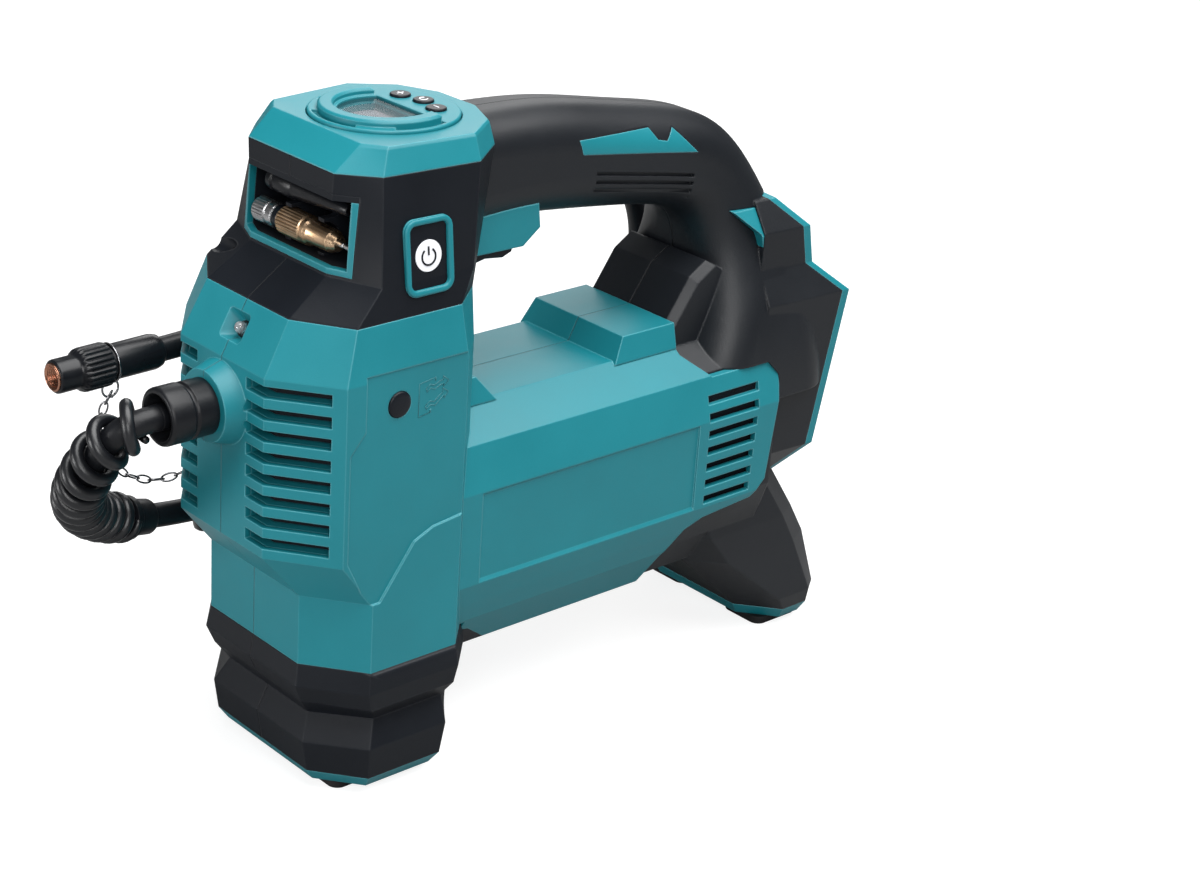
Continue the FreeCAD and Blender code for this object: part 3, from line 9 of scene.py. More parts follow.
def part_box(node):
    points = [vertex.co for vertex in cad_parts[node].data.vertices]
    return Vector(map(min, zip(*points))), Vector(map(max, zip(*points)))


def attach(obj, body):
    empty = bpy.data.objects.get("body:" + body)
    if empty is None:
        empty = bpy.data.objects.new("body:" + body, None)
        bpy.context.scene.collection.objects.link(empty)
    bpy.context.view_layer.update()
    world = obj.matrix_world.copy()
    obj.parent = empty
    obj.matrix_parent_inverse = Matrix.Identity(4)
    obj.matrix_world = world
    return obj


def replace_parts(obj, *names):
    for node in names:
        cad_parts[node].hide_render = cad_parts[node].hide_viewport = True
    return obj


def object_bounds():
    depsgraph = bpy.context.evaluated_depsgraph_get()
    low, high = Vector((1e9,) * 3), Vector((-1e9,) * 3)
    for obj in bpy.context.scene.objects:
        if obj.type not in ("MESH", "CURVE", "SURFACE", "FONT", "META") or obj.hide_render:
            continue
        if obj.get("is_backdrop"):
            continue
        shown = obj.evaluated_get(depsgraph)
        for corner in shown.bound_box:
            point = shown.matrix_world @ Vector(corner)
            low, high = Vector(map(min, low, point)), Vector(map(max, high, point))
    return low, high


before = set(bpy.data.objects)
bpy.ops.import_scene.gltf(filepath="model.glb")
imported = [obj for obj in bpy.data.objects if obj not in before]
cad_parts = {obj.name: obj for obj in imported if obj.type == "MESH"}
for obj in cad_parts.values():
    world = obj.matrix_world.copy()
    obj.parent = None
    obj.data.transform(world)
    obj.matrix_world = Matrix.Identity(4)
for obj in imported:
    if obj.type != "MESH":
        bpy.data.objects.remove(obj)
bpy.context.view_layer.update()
cadOrigin = (128.75, 10.85, 0.0)   # where the frame's zero lies in the part's own millimetres
print("frame loaded,", len(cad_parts), "nodes")


def fromCad(x, y, z):
    return Vector((x - cadOrigin[0], y - cadOrigin[1], z - cadOrigin[2])) / 1000


# Place and normal where a look across the part meets a node
def faceOn(nodeName, look, side):
    tree = BVHTree.FromObject(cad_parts[nodeName], bpy.context.evaluated_depsgraph_get())
    return tree.ray_cast(fromCad(*look), Vector((0, side, 0)))[:2]


# Node helpers: an input takes a value or another node's output, and a new node gives its outputs
def setInputs(tree, node, inputs):
    for name, value in inputs.items():
        if isinstance(value, bpy.types.NodeSocket):
            tree.links.new(value, node.inputs[name])
        else:
            node.inputs[name].default_value = value


def addNode(tree, kind, inputs=None, **settings):
    made = tree.nodes.new(kind)
    for name, value in settings.items():
        setattr(made, name, value)
    setInputs(tree, made, inputs or {})
    return made.outputs


def addMath(tree, operation, first, second=0.0):
    return addNode(tree, "ShaderNodeMath", {0: first, 1: second}, operation=operation)[0]


def addNoise(tree, place, scale, detail=2.0, roughness=0.5):
    return addNode(tree, "ShaderNodeTexNoise", {"Vector": place, "Scale": scale, "Detail": detail,
                                                "Roughness": roughness})["Fac"]


def mixValues(tree, first, second, share):
    return addMath(tree, "ADD", addMath(tree, "MULTIPLY", first, share),
                   addMath(tree, "MULTIPLY", second, 1 - share))


def mapValue(tree, value, low, high, fromLow=0.0, fromHigh=1.0):
    return addNode(tree, "ShaderNodeMapRange", {"Value": value, "From Min": fromLow, "From Max": fromHigh,
                                                "To Min": low, "To Max": high})["Result"]


def blendColour(tree, factor, low, high):
    low, high = [colour if isinstance(colour, bpy.types.NodeSocket) else (*colour, 1.0) for colour in (low, high)]
    return addNode(tree, "ShaderNodeMix", {0: factor, 6: low, 7: high}, data_type="RGBA")[2]


# A group's inputs by label: a number is the input's default, and a word is its kind
def newGroup(name, inputs, outputs, kind="ShaderNodeTree"):
    group = bpy.data.node_groups.new(name, kind)
    for label, value in inputs.items():
        word = value if isinstance(value, str) else "Int" if isinstance(value, int) else "Float"
        socket = group.interface.new_socket(label, in_out="INPUT", socket_type="NodeSocket" + word)
        if word != value:
            socket.default_value = value
    for label, word in outputs.items():
        group.interface.new_socket(label, in_out="OUTPUT", socket_type="NodeSocket" + word)
    return group, group.nodes.new("NodeGroupInput").outputs, group.nodes.new("NodeGroupOutput")


def placeGroup(tree, group, inputs):
    return addNode(tree, "ShaderNodeGroup", inputs, node_tree=group)


# What every finish shares; noise mostly lies within its band
skin = {"noiseBand": (0.3, 0.7), "pebbleShare": 0.6, "driftShare": 0.7, "bevelSamples": 6, "edgeStart": 0.004,
        "edgeSpread": 0.3, "edgeGloss": 0.06, "grainDepth": 0.00012, "scratchDepth": 0.00005, "splitDark": 0.8,
        "splitDepth": 3.0, "splitBand": (0.3, 0.7), "driftRough": 0.08, "coatRoughness": 0.12}


# Moulded skin: fine pebble height, with a slow drift in tone and gloss
def buildMouldGrain():
    group, take, give = newGroup("mouldGrain", {"Vector": "Vector", "Grain Scale": 2600.0, "Drift Scale": 28.0},
                                 {"Height": "Float", "Speck": "Float", "Drift": "Float"})
    pebble = addNode(group, "ShaderNodeTexVoronoi", {"Vector": take["Vector"], "Scale": take["Grain Scale"]},
                     feature="SMOOTH_F1")["Distance"]
    haze = addNoise(group, take["Vector"], take["Grain Scale"])
    setInputs(group, give, {"Height": mixValues(group, pebble, haze, skin["pebbleShare"]), "Speck": haze,
                            "Drift": addNoise(group, take["Vector"], take["Drift Scale"], 5.0, 0.55)})
    return group


# Softened arrises, and a mask that is high where two faces meet
def buildSoftEdge():
    group, take, give = newGroup("softEdge", {"Radius": 0.0008, "Spread": 0.25},
                                 {"Normal": "Vector", "Edge": "Float"})
    soft = addNode(group, "ShaderNodeBevel", {"Radius": take["Radius"]}, samples=skin["bevelSamples"])["Normal"]
    plain = addNode(group, "ShaderNodeNewGeometry")["Normal"]
    turn = addNode(group, "ShaderNodeVectorMath", {0: soft, 1: plain}, operation="DOT_PRODUCT")["Value"]
    edge = mapValue(group, addMath(group, "SUBTRACT", 1.0, turn), 0.0, 1.0, skin["edgeStart"], take["Spread"])
    setInputs(group, give, {"Normal": soft, "Edge": edge})
    return group


# Long hair scratches one way, as turned or handled metal shows
def buildHairlines():
    group, take, give = newGroup("hairlines", {"Vector": "Vector", "Fine": 900.0, "Stretch": 14.0},
                                 {"Height": "Float"})
    squeeze = addNode(group, "ShaderNodeCombineXYZ", {
        "X": take["Fine"], "Y": addMath(group, "DIVIDE", take["Fine"], take["Stretch"]), "Z": take["Fine"]})
    scaled = addNode(group, "ShaderNodeVectorMath", {0: take["Vector"], 1: squeeze["Vector"]}, operation="MULTIPLY")
    setInputs(group, give, {"Height": addNoise(group, scaled["Vector"], 1.0, 3.0)})
    return group


# Fine dark line where the two mould halves meet
def buildSplitLine():
    group, take, give = newGroup("splitLine", {"Vector": "Vector", "Place": 0.0, "Width": 0.0004},
                                 {"Line": "Float"})
    across = addNode(group, "ShaderNodeSeparateXYZ", {"Vector": take["Vector"]})["Y"]
    away = addMath(group, "ABSOLUTE", addMath(group, "SUBTRACT", across, take["Place"]))
    inner, outer = [addMath(group, "MULTIPLY", take["Width"], share) for share in skin["splitBand"]]
    setInputs(group, give, {"Line": mapValue(group, away, 1.0, 0.0, inner, outer)})
    return group


mouldGrain = buildMouldGrain()
softEdge = buildSoftEdge()
hairlines = buildHairlines()
splitLine = buildSplitLine()


def newMaterial(name):
    made = bpy.data.materials.new(name)
    made.use_nodes = True
    tree = made.node_tree
    return made, tree, tree.nodes["Principled BSDF"], addNode(tree, "ShaderNodeTexCoord")["Object"]


def mouldedPlastic(name, base, **changes):
    look = {**base, **changes}
    made, tree, shader, place = newMaterial(name)
    grain = placeGroup(tree, mouldGrain, {"Vector": place, "Grain Scale": look["grainScale"],
                                          "Drift Scale": look.get("driftScale", 28.0)})
    edges = placeGroup(tree, softEdge, {"Radius": look["edgeRadius"], "Spread": skin["edgeSpread"]})
    tone = mixValues(tree, grain["Drift"], grain["Speck"], skin["driftShare"])
    body = blendColour(tree, mapValue(tree, tone, 0.0, 1.0, *skin["noiseBand"]), look["dark"], look["light"])
    # Painted highlight: the edge mask blends each finish towards a lighter colour along its arrises, standing in for
    # light caught on the rounded edges
    highlightedBase = blendColour(tree, mapValue(tree, edges["Edge"], 0.0, look["edgeShine"]), body, look["edgeHighlightColour"])
    height = grain["Height"]
    if "split" in look:
        line = placeGroup(tree, splitLine, {"Vector": place, "Place": fromCad(0, 0, 0).y,
                                            "Width": look["split"]})["Line"]
        highlightedBase = blendColour(tree, addMath(tree, "MULTIPLY", line, skin["splitDark"]), highlightedBase, look["splitColour"])
        height = addMath(tree, "SUBTRACT", height, addMath(tree, "MULTIPLY", line, skin["splitDepth"]))
    rough = addMath(tree, "SUBTRACT", mapValue(tree, tone, *look["rough"], *skin["noiseBand"]),
                    addMath(tree, "MULTIPLY", edges["Edge"], skin["edgeGloss"]))
    bump = addNode(tree, "ShaderNodeBump", {"Strength": look["bump"], "Distance": skin["grainDepth"],
                                            "Height": height, "Normal": edges["Normal"]})
    setInputs(tree, shader, {"Base Color": highlightedBase, "Roughness": rough, "Normal": bump["Normal"],
                             "Specular IOR Level": look.get("specular", 0.5), "Coat Weight": look.get("coat", 0.0),
                             "Coat Roughness": skin["coatRoughness"]})
    return made


def turnedMetal(name, base, **changes):
    look = {"edgeRadius": 0.0002, **base, **changes}
    made, tree, shader, place = newMaterial(name)
    lines = placeGroup(tree, hairlines, {"Vector": place, "Fine": look["fine"], "Stretch": look["stretch"]})["Height"]
    drift = placeGroup(tree, mouldGrain, {"Vector": place, "Grain Scale": 900.0, "Drift Scale": 120.0})["Drift"]
    edges = placeGroup(tree, softEdge, {"Radius": look["edgeRadius"], "Spread": skin["edgeSpread"]})
    body = blendColour(tree, mapValue(tree, drift, 0.0, 1.0, *skin["noiseBand"]), look["dark"], look["light"])
    rough = addMath(tree, "ADD", mapValue(tree, lines, *look["rough"], *skin["noiseBand"]),
                    addMath(tree, "MULTIPLY", drift, skin["driftRough"]))
    bump = addNode(tree, "ShaderNodeBump", {"Strength": look["bump"], "Distance": skin["scratchDepth"],
                                            "Height": lines, "Normal": edges["Normal"]})
    setInputs(tree, shader, {"Base Color": body, "Roughness": rough, "Normal": bump["Normal"], "Metallic": 1.0})
    return made


tealLook = {"dark": (0.0055, 0.160, 0.194), "light": (0.0075, 0.186, 0.224), "edgeHighlightColour": (0.14, 0.46, 0.52),
            "edgeShine": 0.8, "rough": (0.36, 0.46), "grainScale": 2600.0, "bump": 0.16, "edgeRadius": 0.0008,
            "specular": 0.38}
headLook = {"dark": (0.0036, 0.0050, 0.0078), "light": (0.0058, 0.0076, 0.0112), "edgeHighlightColour": (0.035, 0.038, 0.045),
            "edgeShine": 0.6, "rough": (0.40, 0.52), "grainScale": 2400.0, "bump": 0.25, "edgeRadius": 0.0008,
            "specular": 0.22}
gripLook = {"dark": (0.0040, 0.0054, 0.0078), "light": (0.0064, 0.0083, 0.0115), "edgeHighlightColour": (0.024, 0.027, 0.033),
            "edgeShine": 0.4, "rough": (0.40, 0.50), "grainScale": 1900.0, "bump": 0.32, "edgeRadius": 0.0012,
            "specular": 0.4}
hoseLook = {"dark": (0.0036, 0.0042, 0.0058), "light": (0.0062, 0.0070, 0.0090), "edgeHighlightColour": (0.02, 0.021, 0.023),
            "edgeShine": 0.3, "rough": (0.32, 0.46), "grainScale": 1500.0, "bump": 0.22, "edgeRadius": 0.0004,
            "specular": 0.3, "driftScale": 60.0}
steelLook = {"dark": (0.42, 0.42, 0.43), "light": (0.60, 0.60, 0.60), "rough": (0.18, 0.34), "fine": 1500.0,
             "stretch": 20.0, "bump": 0.25}
chromeLook = {"dark": (0.62, 0.63, 0.64), "light": (0.78, 0.79, 0.80), "rough": (0.08, 0.16), "fine": 900.0,
              "stretch": 6.0, "bump": 0.08}

darkSplit = {"split": 0.0003, "splitColour": (0.001, 0.001, 0.0012)}
tealShell = mouldedPlastic("tealShell", tealLook, split=0.00035, splitColour=(0.002, 0.03, 0.036))
tealTrim = mouldedPlastic("tealTrim", tealLook)
# The release sign's teal is darker than the shell's: painted shade, standing in for the shade inside engraved lines
shadedSignTeal = mouldedPlastic("shadedSignTeal", tealLook, dark=(0.006, 0.10, 0.12), light=(0.008, 0.12, 0.14))
headPlastic = mouldedPlastic("headPlastic", headLook, **darkSplit)
gripRubber = mouldedPlastic("gripRubber", gripLook, **darkSplit)
footPlastic = mouldedPlastic("footPlastic", headLook, rough=(0.42, 0.54), edgeRadius=0.001, **darkSplit)
padRubber = mouldedPlastic("padRubber", {
    "dark": (0.009, 0.009, 0.010), "light": (0.014, 0.014, 0.015), "edgeHighlightColour": (0.02, 0.02, 0.021),
    "edgeShine": 0.3, "rough": (0.62, 0.78), "grainScale": 1400.0, "bump": 0.4, "edgeRadius": 0.0005,
    "specular": 0.3})
hoseRubber = mouldedPlastic("hoseRubber", hoseLook)
guardRubber = mouldedPlastic("guardRubber", hoseLook, rough=(0.28, 0.40), specular=0.5)
sleevePlastic = mouldedPlastic("sleevePlastic", hoseLook, rough=(0.24, 0.36), grainScale=1100.0, bump=0.1)
glossBlack = mouldedPlastic("glossBlack", {
    "dark": (0.004, 0.004, 0.0045), "light": (0.0065, 0.0065, 0.007), "edgeHighlightColour": (0.02, 0.02, 0.022),
    "edgeShine": 0.4, "rough": (0.16, 0.24), "grainScale": 900.0, "bump": 0.05, "edgeRadius": 0.0006, "coat": 0.6})
buttonPlastic = mouldedPlastic("buttonPlastic", headLook, rough=(0.30, 0.40), edgeRadius=0.0004)
innerPlastic = mouldedPlastic("innerPlastic", headLook, rough=(0.55, 0.7), edgeRadius=0.0004, bump=0.15)
steelMetal = turnedMetal("steelMetal", steelLook)
chromeMetal = turnedMetal("chromeMetal", chromeLook)
chainMetal = turnedMetal("chainMetal", chromeLook, dark=(0.18, 0.18, 0.19), light=(0.30, 0.30, 0.31))
brassMetal = turnedMetal("brassMetal", {
    "dark": (0.50, 0.33, 0.19), "light": (0.70, 0.50, 0.33), "rough": (0.2, 0.34), "fine": 1300.0, "stretch": 18.0,
    "bump": 0.2})
copperMetal = turnedMetal("copperMetal", {
    "dark": (0.36, 0.16, 0.10), "light": (0.58, 0.30, 0.20), "rough": (0.16, 0.30), "fine": 1300.0, "stretch": 8.0,
    "bump": 0.2})
castAluminium = turnedMetal("castAluminium", {
    "dark": (0.13, 0.13, 0.135), "light": (0.20, 0.20, 0.205), "rough": (0.4, 0.55), "fine": 700.0, "stretch": 3.0,
    "bump": 0.4, "edgeRadius": 0.0004})
screwSteel = turnedMetal("screwSteel", steelLook, dark=(0.10, 0.10, 0.105), light=(0.20, 0.20, 0.205))


def buildPrintInk():
    made, tree, shader, place = newMaterial("printInk")
    grain = placeGroup(tree, mouldGrain, {"Vector": place, "Grain Scale": 1800.0, "Drift Scale": 200.0})
    setInputs(tree, shader, {
        "Base Color": blendColour(tree, grain["Drift"], (0.74, 0.76, 0.80), (0.84, 0.85, 0.88)),
        "Roughness": mapValue(tree, grain["Speck"], 0.35, 0.5)})
    return made


def buildGlassPane():
    made, tree, shader, place = newMaterial("clearPane")
    smear = addNoise(tree, place, 90.0, 4.0)
    setInputs(tree, shader, {"Base Color": blendColour(tree, smear, (0.03, 0.035, 0.04), (0.05, 0.055, 0.06)),
                             "Roughness": mapValue(tree, smear, 0.03, 0.12, 0.35, 0.7),
                             "Alpha": mapValue(tree, smear, 0.16, 0.24, *skin["noiseBand"])})
    return made


def buildDisplayGlass():
    made, tree, shader, place = newMaterial("displayGlass")
    cloud = mapValue(tree, addNoise(tree, place, 45.0, 3.0), 0.0, 1.0, 0.35, 0.65)
    setInputs(tree, shader, {"Base Color": blendColour(tree, cloud, (0.25, 0.26, 0.28), (0.31, 0.32, 0.35)),
                             "Roughness": mapValue(tree, addNoise(tree, place, 2600.0), 0.2, 0.3)})
    return made


def buildCircuitBoard():
    made, tree, shader, place = newMaterial("circuitBoard")
    tracks = addNode(tree, "ShaderNodeTexBrick", {
        "Vector": place, "Color1": (0.012, 0.08, 0.03, 1.0), "Color2": (0.016, 0.10, 0.04, 1.0),
        "Mortar": (0.05, 0.20, 0.07, 1.0), "Scale": 260.0, "Mortar Size": 0.03})
    setInputs(tree, shader, {"Base Color": tracks["Color"], "Roughness": mapValue(tree, tracks["Fac"], 0.35, 0.25)})
    return made


def buildLampLens():
    made, tree, shader, place = newMaterial("lampLens")
    frost = addNoise(tree, place, 900.0)
    setInputs(tree, shader, {"Base Color": blendColour(tree, frost, (0.62, 0.66, 0.68), (0.80, 0.82, 0.84)),
                             "Roughness": mapValue(tree, frost, 0.05, 0.15), "Transmission Weight": 0.8,
                             "Coat Weight": 0.5})
    return made


printInk = buildPrintInk()
clearPane = buildGlassPane()
displayGlass = buildDisplayGlass()
circuitBoard = buildCircuitBoard()
lampLens = buildLampLens()

nodeFinish = {
    tealShell: "left_shell right_shell",
    tealTrim: "front_foot_rim rear_foot_rim display_cap display_bezel key_frame bay_frame trigger_guard "
              "handle_inlays battery_frame",
    headPlastic: "left_head right_head",
    gripRubber: "left_grip right_grip",
    footPlastic: "left_front_foot right_front_foot",
    innerPlastic: "adapter_tray trigger_switch terminal_block cooling_fan gear_bracket release_valve",
    buttonPlastic: "power_key release_button trigger_lever plastic_nozzle plus_button mode_button minus_button",
    padRubber: "front_pads rear_pads",
    hoseRubber: "hose_sleeve hose_end_sleeve hose_nut guard_collar hose hose_guard",
    glossBlack: "chuck_body chuck_lever",
    clearPane: "display_window",
    displayGlass: "lcd_panel",
    lampLens: "led_lens",
    circuitBoard: "display_board control_board",
    steelMetal: "ball_needle motor_can motor_rotor crank_gear chuck_pin motor_pinion",
    screwSteel: "housing_screws",
    chromeMetal: "chuck_chain chuck_nose",
    brassMetal: "valve_adapter terminals",
    copperMetal: "hose_thread",
    castAluminium: "cylinder piston con_rod",
}
for material, names in nodeFinish.items():
    for name in names.split():
        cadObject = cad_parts[name]
        cadObject.data.materials.clear()
        cadObject.data.materials.append(material)
print("materials placed on every node")


# Mesh helpers
def sceneObject(name, data):
    made = bpy.data.objects.new(name, data)
    bpy.context.scene.collection.objects.link(made)
    return made


def keepMesh(name, mesh, material, body="housing"):
    piece = sceneObject(name, mesh)
    mesh.materials.clear()
    mesh.materials.append(material)
    for face in mesh.polygons:
        face.material_index = 0
    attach(piece, body)
    return piece


# smooth is the angle in degrees up to which two faces shade as one
def buildMesh(name, build, smooth=0):
    shape = bmesh.new()
    build(shape)
    bmesh.ops.remove_doubles(shape, verts=shape.verts, dist=1e-7)
    bmesh.ops.recalc_face_normals(shape, faces=shape.faces)
    for face in shape.faces:
        face.smooth = smooth > 0
    for edge in shape.edges:
        edge.smooth = len(edge.link_faces) != 2 or edge.calc_face_angle() < math.radians(smooth)
    mesh = bpy.data.meshes.new(name)
    shape.to_mesh(mesh)
    shape.free()
    return mesh


def bmeshPiece(name, build, material, body="housing", smooth=0):
    return keepMesh(name, buildMesh(name, build, smooth), material, body)


def frameOf(axis, hint=Vector((0, 0, 1))):
    axis = axis.normalized()
    side = hint.cross(axis)
    if side.length < 1e-6:
        side = Vector((0, 1, 0)).cross(axis)
    side.normalize()
    return side, axis.cross(side), axis


# Skins neighbouring rings; a ring of one point is a pole
def skinRings(shape, rings, loop=False, capped=False):
    pairs = list(zip(rings, rings[1:])) + ([(rings[-1], rings[0])] if loop else [])
    for near, far in pairs:
        count = max(len(near), len(far))
        for i in range(count):
            j = (i + 1) % count
            corners = list(dict.fromkeys([near[i % len(near)], near[j % len(near)],
                                          far[j % len(far)], far[i % len(far)]]))
            if len(corners) > 2:
                shape.faces.new(corners)
    if capped:
        shape.faces.new(rings[0][::-1])
        shape.faces.new(rings[-1])


# A turned form from (distance, radius) in millimetres, or (distance, radius, flute depth)
def turnForm(shape, centre, axis, profile, sides=48, flutes=0, loop=False):
    side, up, along = frameOf(axis)
    rings = []
    for distance, radius, *flute in profile:
        middle = centre + along * distance / 1000
        if radius < 1e-6:
            rings.append([shape.verts.new(middle)])
            continue
        ring = []
        for i in range(sides):
            angle = 2 * math.pi * i / sides
            dip = flute[0] * max(0.0, math.cos(flutes * angle)) if flute else 0.0
            ring.append(shape.verts.new(middle + (side * math.cos(angle) + up * math.sin(angle))
                                        * (radius - dip) / 1000))
        rings.append(ring)
    skinRings(shape, rings, loop)


def turnedPiece(name, centre, axis, profile, material, slotName, body="housing", smooth=30, **shaping):
    return bmeshPiece(name, lambda shape: turnForm(shape, centre, axis, profile, **shaping), material,
                      body, smooth)


def circlePoints(centre, first, second, radius, count=48):
    return [centre + (first * math.cos(2 * math.pi * i / count) + second * math.sin(2 * math.pi * i / count)) * radius
            for i in range(count)]


# A round section carried along points without twist; radius may be a function of the share of the way
def sweepRound(shape, points, radius, sides=12, closed=False):
    count = len(points)
    side = None
    rings = []
    for i, point in enumerate(points):
        near = points[i - 1] if closed or i else points[0]
        far = points[(i + 1) % count] if closed or i < count - 1 else points[-1]
        along = (far - near).normalized()
        side = (side - along * side.dot(along)).normalized() if side else frameOf(along)[0]
        here = radius(i / (count - 1)) if callable(radius) else radius
        rings.append([shape.verts.new(p) for p in circlePoints(point, side, along.cross(side), here, sides)])
    skinRings(shape, rings, closed, capped=not closed)


# Corners of a rounded rectangle about zero
def roundedLoop(width, height, radius, steps=6):
    loop = []
    for a, b, start in ((1, 1, 0), (-1, 1, 90), (-1, -1, 180), (1, -1, 270)):
        for k in range(steps + 1):
            angle = math.radians(start + 90 * k / steps)
            loop.append((a * (width / 2 - radius) + radius * math.cos(angle),
                         b * (height / 2 - radius) + radius * math.sin(angle)))
    return loop


def splineCurve(name, points, bevel=0.0):
    line = bpy.data.curves.new(name, "CURVE")
    line.dimensions = "3D"
    spline = line.splines.new("NURBS")
    spline.points.add(len(points) - 1)
    for control, point in zip(spline.points, points):
        control.co = (*point, 1.0)
    spline.order_u = 3
    spline.use_endpoint_u = True
    spline.resolution_u = 10
    line.bevel_depth = bevel
    line.bevel_resolution = 5
    line.use_fill_caps = True
    return sceneObject(name, line)


def evaluatedMesh(piece):
    return bpy.data.meshes.new_from_object(piece.evaluated_get(bpy.context.evaluated_depsgraph_get()))


# The points that Blender itself puts on a route's spline
def centreLine(points):
    scratch = splineCurve("routeScratch", points)
    mesh = evaluatedMesh(scratch)
    line = [vertex.co.copy() for vertex in mesh.vertices]
    bpy.data.meshes.remove(mesh)
    bpy.data.objects.remove(scratch)
    return line


def lineLength(line):
    return sum((b - a).length for a, b in zip(line, line[1:]))


# A line read by its length, with frames that don't twist
class Track:
    def __init__(self, line, stride=0.0005):
        lengths = [0.0]
        for a, b in zip(line, line[1:]):
            lengths.append(lengths[-1] + (b - a).length)
        self.length = lengths[-1]
        self.stride = stride
        spots = []
        k = 0
        for i in range(int(self.length / stride) + 1):
            at = i * stride
            while k < len(line) - 2 and lengths[k + 1] < at:
                k += 1
            share = (at - lengths[k]) / max(lengths[k + 1] - lengths[k], 1e-9)
            spots.append(line[k].lerp(line[k + 1], min(max(share, 0.0), 1.0)))
        self.frames = []
        reach = 4   # samples each way that give a direction
        side = Vector((0, 0, -1))
        for i, spot in enumerate(spots):
            along = (spots[min(i + reach, len(spots) - 1)] - spots[max(i - reach, 0)]).normalized()
            side = (side - along * side.dot(along)).normalized()
            self.frames.append((spot, along, side.copy()))

    def at(self, length):
        place = min(max(length / self.stride, 0.0), len(self.frames) - 1.001)
        i = int(place)
        share = place - i
        near, far = self.frames[i], self.frames[i + 1]
        return (near[0].lerp(far[0], share), near[1].lerp(far[1], share).normalized(),
                near[2].lerp(far[2], share).normalized())


# Geometry Nodes helpers
def geometryGroup(name, inputs):
    return newGroup(name, {"Geometry": "Geometry", **inputs, "Finish": "Material"}, {"Geometry": "Geometry"},
                    "GeometryNodeTree")


def finishTree(group, take, give, geometry):
    real = addNode(group, "GeometryNodeRealizeInstances", {"Geometry": geometry})
    paint = addNode(group, "GeometryNodeSetMaterial", {"Geometry": real["Geometry"], "Material": take["Finish"]})
    setInputs(group, give, {"Geometry": paint["Geometry"]})
    return group


def applyTree(carrier, group, values, name, material):
    values = {**values, "Finish": material}
    modifier = carrier.modifiers.new("build", "NODES")
    modifier.node_group = group
    for item in group.interface.items_tree:
        if item.item_type == "SOCKET" and item.in_out == "INPUT" and item.name in values:
            modifier[item.identifier] = values[item.name]
    mesh = evaluatedMesh(carrier)
    carrier.modifiers.clear()
    bpy.data.objects.remove(carrier)
    mesh.name = name
    return keepMesh(name, mesh, material)


# Air hose: its route in the part's millimetres
hose = {
    "radius": 0.0045,
    "sideY": 51.5,
    "start": [(-25, 0, 142), (-32.5, 0, 142), (-39, 3, 138.5), (-42.5, 9, 129.5), (-42.5, 18, 117.5),
              (-38.5, 29, 105.5), (-29.5, 39, 94), (-14, 47.5, 84)],
    "side": [(8, 77.5), (36, 75.5), (72, 76.5), (110, 79), (150, 77.5), (194, 81.5), (218, 95), (233.5, 115),
             (239, 138), (233, 159.5), (217, 176), (195, 184.5), (171, 185.5), (146, 179.5), (116, 166.5),
             (87, 154.8), (58, 144.8), (26, 141.3), (9, 141)],
}
hoseRoute = [fromCad(*point) for point in hose["start"]] + [fromCad(x, hose["sideY"], z) for x, z in hose["side"]]
airHose = splineCurve("airHose", hoseRoute, hose["radius"])
airHose.data.materials.append(hoseRubber)
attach(airHose, "housing")
hoseTrack = Track(centreLine(hoseRoute))
print("hose line", round(hoseTrack.length, 4), "m")

# Spiral guard round the hose's first bend: wide turns, then close ones
guard = {"wireRadius": 0.0023, "coilRadius": 0.0070, "start": 0.0047, "openTurns": 4, "openPitch": 0.0088,
         "closeTurns": 9, "closePitch": 0.0069, "stepsPerTurn": 32, "sides": 14, "endShare": 0.55, "endTaper": 18}


def buildGuard(shape):
    steps = guard["stepsPerTurn"]
    turns = guard["openTurns"] + guard["closeTurns"]
    points = []
    length = guard["start"]
    for i in range(turns * steps + 1):
        turn = i / steps
        pitch = guard["openPitch"] if turn < guard["openTurns"] else guard["closePitch"]
        if i:
            length += pitch / steps
        spot, along, side = hoseTrack.at(length)
        angle = 2 * math.pi * turn
        points.append(spot + (side * math.cos(angle) + side.cross(along) * math.sin(angle)) * guard["coilRadius"])

    def wireRadius(share):
        return guard["wireRadius"] * min(1.0, guard["endShare"] + guard["endTaper"] * min(share, 1 - share))

    sweepRound(shape, points, wireRadius, guard["sides"])
    guard["end"] = length


hoseGuard = bmeshPiece("hoseGuard", buildGuard, guardRubber, smooth=180)
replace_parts(hoseGuard, "hose_guard")

# Collar that ends the guard, by length along the hose and radius in millimetres
collar = {"profile": [(-1.0, 4.7), (-1.0, 7.9), (1.8, 8.0), (2.6, 7.4), (3.2, 6.7), (10.8, 6.4), (11.6, 6.0),
                      (12.0, 4.7)], "sides": 40}


def buildCollar(shape):
    rings = []
    for distance, radius in collar["profile"]:
        spot, along, side = hoseTrack.at(guard["end"] + distance / 1000)
        rings.append([shape.verts.new(p) for p in circlePoints(spot, side, along.cross(side), radius / 1000,
                                                               collar["sides"])])
    skinRings(shape, rings, loop=True)


guardCollar = bmeshPiece("guardCollar", buildCollar, hoseRubber, smooth=35)
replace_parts(guardCollar, "guard_collar")

# Gland on the boss: two stepped sleeves with a hollow mouth, from the boss outwards
gland = {"start": (-7, 0, 142), "profile": [
    (0.0, 0.0), (0.0, 9.7), (7.4, 9.8), (8.0, 9.3), (8.5, 9.2), (8.9, 9.4), (9.4, 10.0), (16.6, 10.0), (17.5, 9.8),
    (18.0, 9.2), (18.0, 8.2), (17.4, 7.7), (12.5, 7.3), (11.5, 6.6), (11.2, 4.6), (18.0, 4.5), (18.0, 0.0)]}
hoseGland = turnedPiece("hoseGland", fromCad(*gland["start"]), Vector((-1, 0, 0)), gland["profile"], hoseRubber,
                        "rubber", smooth=40, sides=64)
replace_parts(hoseGland, "hose_sleeve")

